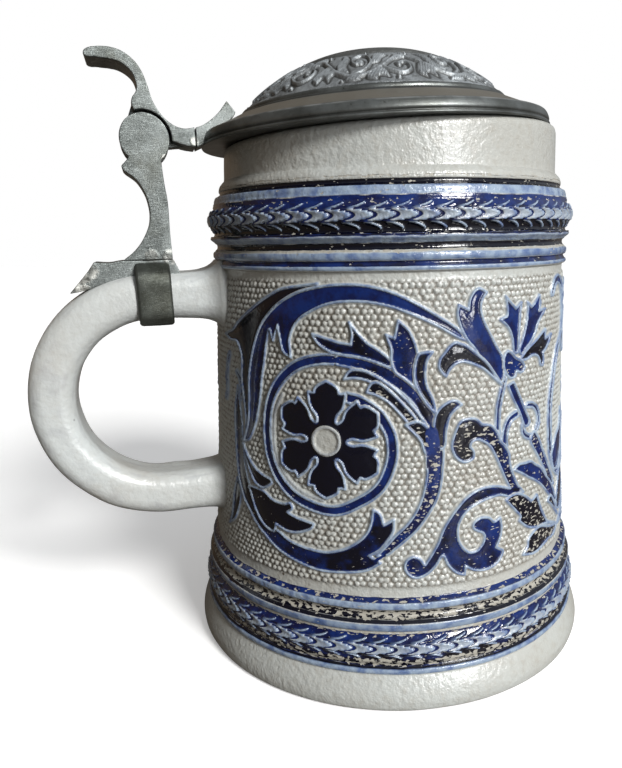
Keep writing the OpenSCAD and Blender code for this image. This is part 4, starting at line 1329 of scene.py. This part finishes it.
def cast_pewter(name, tone, dark):
    """The hinge castings, with bright solder, a fresh break on the tang and a nick by the pin."""
    n = Nodes(name)
    colour, height = pewter_skin(n, tone, dark, 0.75)
    stain = n.steps(n.noise(75, 4, 0.65), 0.52, 0.72)
    colour = n.mix(n.times(stain, 0.55), colour, TARNISH)
    grains = n.steps(n.cells(420), 0.25, 0.75)
    for place, reach, strength in BRIGHT_SPOTS:
        spot = n.times(n.near(place, reach), n.steps(n.noise(700, 4, 0.7), 0.36, 0.5))
        metal = n.mix(grains, SOLDER, SOLDER_SHADE)
        colour = n.mix(n.times(spot, strength), colour, metal)
        height = n.plus(height, n.times(n.times(spot, grains), 2.5))
    roughness = n.between(n.noise(260, 4, 0.6), 0.32, 0.58)
    return n.finish(colour, roughness, n.bump(height, 0.26, 0.0003), Metallic=0.8)


def ring_pewter():
    """Dark lid metal with a painted highlight along its corner edge and a painted brown reflection of
    the room on its sloping top.
    """
    n = Nodes("lid ring pewter")
    flat_top, edge, beads, _ = n.channels("detail")
    colour, height = pewter_skin(n, RING_TONE, RING_DARK, 0.16)
    # painted reflection of the warm room on the sloping top
    brown = n.mix(n.noise(90, 4), RING_TOP_PAINTED_REFLECTION, RING_TOP_PAINTED_REFLECTION_DARK)
    colour = n.mix(n.times(flat_top, 0.9), colour, brown)
    # painted highlight along the corner bevel, broken up by noise
    edge_highlight = n.times(edge, n.steps(n.noise(260, 3), 0.3, 0.6))
    colour = n.mix(n.times(edge_highlight, 0.85), colour, RING_EDGE_PAINTED_HIGHLIGHT)
    # the bead grooves are painted darker
    colour = n.mix(n.times(beads, 0.55), colour, RING_GROOVE_DARK)
    roughness = n.between(n.noise(260, 4, 0.6), 0.26, 0.5)
    return n.finish(colour, roughness, n.bump(height, 0.2, 0.0003), Metallic=0.75)


def dome_pewter():
    n = Nodes("dome pewter")
    groove, raised, band, _ = n.channels("detail")
    cloud = n.steps(n.noise(130, 5, 0.62), 0.34, 0.7)
    # the plain crown is painted darker: painted shade against its reflection of the room above
    plain = n.mix(cloud, DOME_CROWN_PAINTED_SHADE_DARK, DOME_CROWN_PAINTED_SHADE_PALE)
    leafy = n.mix(cloud, DOME_LEAF_DARK, DOME_LEAF_PALE)
    # painted highlight on the raised tops of the scroll
    leafy = n.mix(n.times(n.steps(raised, 0.2, 0.5), 0.4), leafy, DOME_RAISED_PAINTED_HIGHLIGHT)
    colour = n.mix(band, plain, leafy)
    # the grooves around the scroll are painted darker
    colour = n.mix(n.times(groove, 0.85), colour, DOME_GROOVE_DARK)
    dusk = n.steps(n.noise(480, 4, 0.7), 0.5, 0.66)
    colour = n.mix(n.times(dusk, 0.5), colour, DOME_DUSK)
    roughness = n.between(n.noise(240, 4, 0.6), 0.42, 0.66)
    height = n.plus(n.noise(900, 4, 0.6), n.times(n.noise(430, 3), 1.2))
    return n.finish(colour, roughness, n.bump(height, 0.6, 0.0004), Metallic=0.75)


def pin_steel():
    n = Nodes("pin steel")
    colour = n.mix(n.noise(300, 3), STEEL_DARK, STEEL_PALE)
    lines = n.scratches(700, (1, 12, 1), (0, 0, 0))
    return n.finish(colour, n.between(lines, 0.25, 0.45), n.bump(lines, 0.2, 0.0001), Metallic=1.0)


def floor_paper():
    """Pale paper to the camera; to the glaze that mirrors it, a dim table."""
    n = Nodes("floor paper")
    seen = n.tree.nodes.new("ShaderNodeLightPath").outputs["Is Camera Ray"]
    colour = n.mix(n.noise(40, 3), PAPER_DARK, PAPER_PALE)
    colour = n.mix(seen, TABLE_BROWN, colour)
    n.join(n.times(seen, 0.3), n.shader.inputs["Emission Strength"])
    return n.finish(colour, n.between(n.noise(90, 2), 0.6, 0.75),
                    n.bump(n.noise(900, 3), 0.05, 0.0001))


# ---------- stage, lights and camera ----------

ROOM_BRIGHT_SIDE = (0.62, -0.45, 0.64)
ROOM_STRENGTH = 0.78
CAMERA_PLACE = (0, -171.4, 99.7)
CAMERA_TURN = math.radians(-20)
CAMERA_YAW, CAMERA_PITCH, CAMERA_ROLL = (math.radians(a) for a in (-3.99, 16.52, -1.07))


def make_floor():
    bpy.ops.mesh.primitive_plane_add(size=6, location=(0, 0, 0))
    floor = bpy.context.object
    floor.name = "floor"
    floor.data.materials.append(floor_paper())


def area_light(name, place, target, size, power, colour):
    data = bpy.data.lights.new(name, "AREA")
    data.shape = "RECTANGLE"
    data.size, data.size_y = size
    data.energy = power
    data.color = colour
    lamp = link(bpy.data.objects.new(name, data))
    lamp.location = place
    lamp.rotation_euler = (Vector(target) - Vector(place)).to_track_quat("-Z", "Y").to_euler()
    return lamp


def sun_light(name, direction, spread, strength, colour):
    """Soft daylight from a direction, the same over the whole floor."""
    data = bpy.data.lights.new(name, "SUN")
    data.angle = math.radians(spread)
    data.energy = strength
    data.color = colour
    lamp = link(bpy.data.objects.new(name, data))
    lamp.rotation_euler = (-Vector(direction)).to_track_quat("-Z", "Y").to_euler()
    return lamp


def make_world():
    """White to the camera; to the object a room, bright on the right and dim on the left."""
    world = bpy.data.worlds.new("room")
    bpy.context.scene.world = world
    world.use_nodes = True
    nodes, links = world.node_tree.nodes, world.node_tree.links
    nodes.clear()
    place = nodes.new("ShaderNodeTexCoord")
    along = nodes.new("ShaderNodeVectorMath")
    along.operation = "DOT_PRODUCT"
    along.inputs[1].default_value = ROOM_BRIGHT_SIDE
    shifted = nodes.new("ShaderNodeMapRange")
    shifted.inputs["From Min"].default_value = -1
    ramp = nodes.new("ShaderNodeValToRGB")
    left, right = ramp.color_ramp.elements
    left.position, left.color = 0.15, ROOM_LEFT
    right.position, right.color = 0.95, ROOM_RIGHT
    ramp.color_ramp.elements.new(0.55).color = ROOM_MIDDLE
    room = nodes.new("ShaderNodeBackground")
    room.inputs["Strength"].default_value = ROOM_STRENGTH
    white = nodes.new("ShaderNodeBackground")
    white.inputs["Color"].default_value = (1, 1, 1, 1)
    path = nodes.new("ShaderNodeLightPath")
    mix = nodes.new("ShaderNodeMixShader")
    output = nodes.new("ShaderNodeOutputWorld")
    links.new(place.outputs["Generated"], along.inputs[0])
    links.new(along.outputs["Value"], shifted.inputs["Value"])
    links.new(shifted.outputs["Result"], ramp.inputs["Fac"])
    links.new(ramp.outputs["Color"], room.inputs["Color"])
    links.new(path.outputs["Is Camera Ray"], mix.inputs["Fac"])
    links.new(room.outputs["Background"], mix.inputs[1])
    links.new(white.outputs["Background"], mix.inputs[2])
    links.new(mix.outputs["Shader"], output.inputs["Surface"])


def make_camera():
    """The photograph's viewpoint: close, a little above the mug and turned to the handle side."""
    yaw, pitch, roll = CAMERA_YAW, CAMERA_PITCH, CAMERA_ROLL
    ahead = Vector((math.sin(yaw) * math.cos(pitch), math.cos(yaw) * math.cos(pitch),
                    -math.sin(pitch)))
    right = Vector((math.cos(yaw), -math.sin(yaw), 0))
    up = right.cross(ahead)
    right, up = (right * math.cos(roll) + up * math.sin(roll),
                 up * math.cos(roll) - right * math.sin(roll))
    turn = Matrix.Rotation(CAMERA_TURN, 4, "Z")
    basis = Matrix((right, up, -ahead)).transposed().to_4x4()
    camera = bpy.data.cameras.new("camera")
    camera.sensor_width = 36
    camera.sensor_fit = "AUTO"
    camera.lens = 30.6
    camera.shift_x = -0.0413
    camera.shift_y = 0.0611
    camera.clip_start = 0.01
    holder = link(bpy.data.objects.new("camera", camera))
    holder.matrix_world = turn @ Matrix.Translation(Vector(CAMERA_PLACE) * MM) @ basis
    bpy.context.scene.camera = holder


# ---------- the whole scene ----------

cast = cast_pewter("cast pewter", CAST_TONE, CAST_DARK)
olive_cast = cast_pewter("olive pewter", OLIVE_TONE, OLIVE_DARK)

make_mug(relief_stoneware())
make_handle(plain_stoneware())
make_tang(cast)
make_strap(olive_cast)
make_shank(cast)
make_cap("pin_plug_front", -1, "hinge_cap_front", cast)
make_cap("pin_plug_rear", 1, "hinge_cap_rear", cast)
make_lever(cast)
make_tongue(cast)
make_lid_ring(ring_pewter())
make_dome(dome_pewter())
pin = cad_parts["hinge_pin"]
pin.data.materials.clear()
pin.data.materials.append(pin_steel())

make_floor()
make_world()
sun_light("daylight", (0.34, -0.78, 0.52), 18, 4.0, (1.0, 0.99, 0.97))
area_light("window", (0.33, -0.84, 0.22), (0, 0, 0.07), (0.2, 0.3), 3.0, (0.97, 0.98, 1.0))
bpy.context.scene.view_settings.view_transform = "Standard"
make_camera()
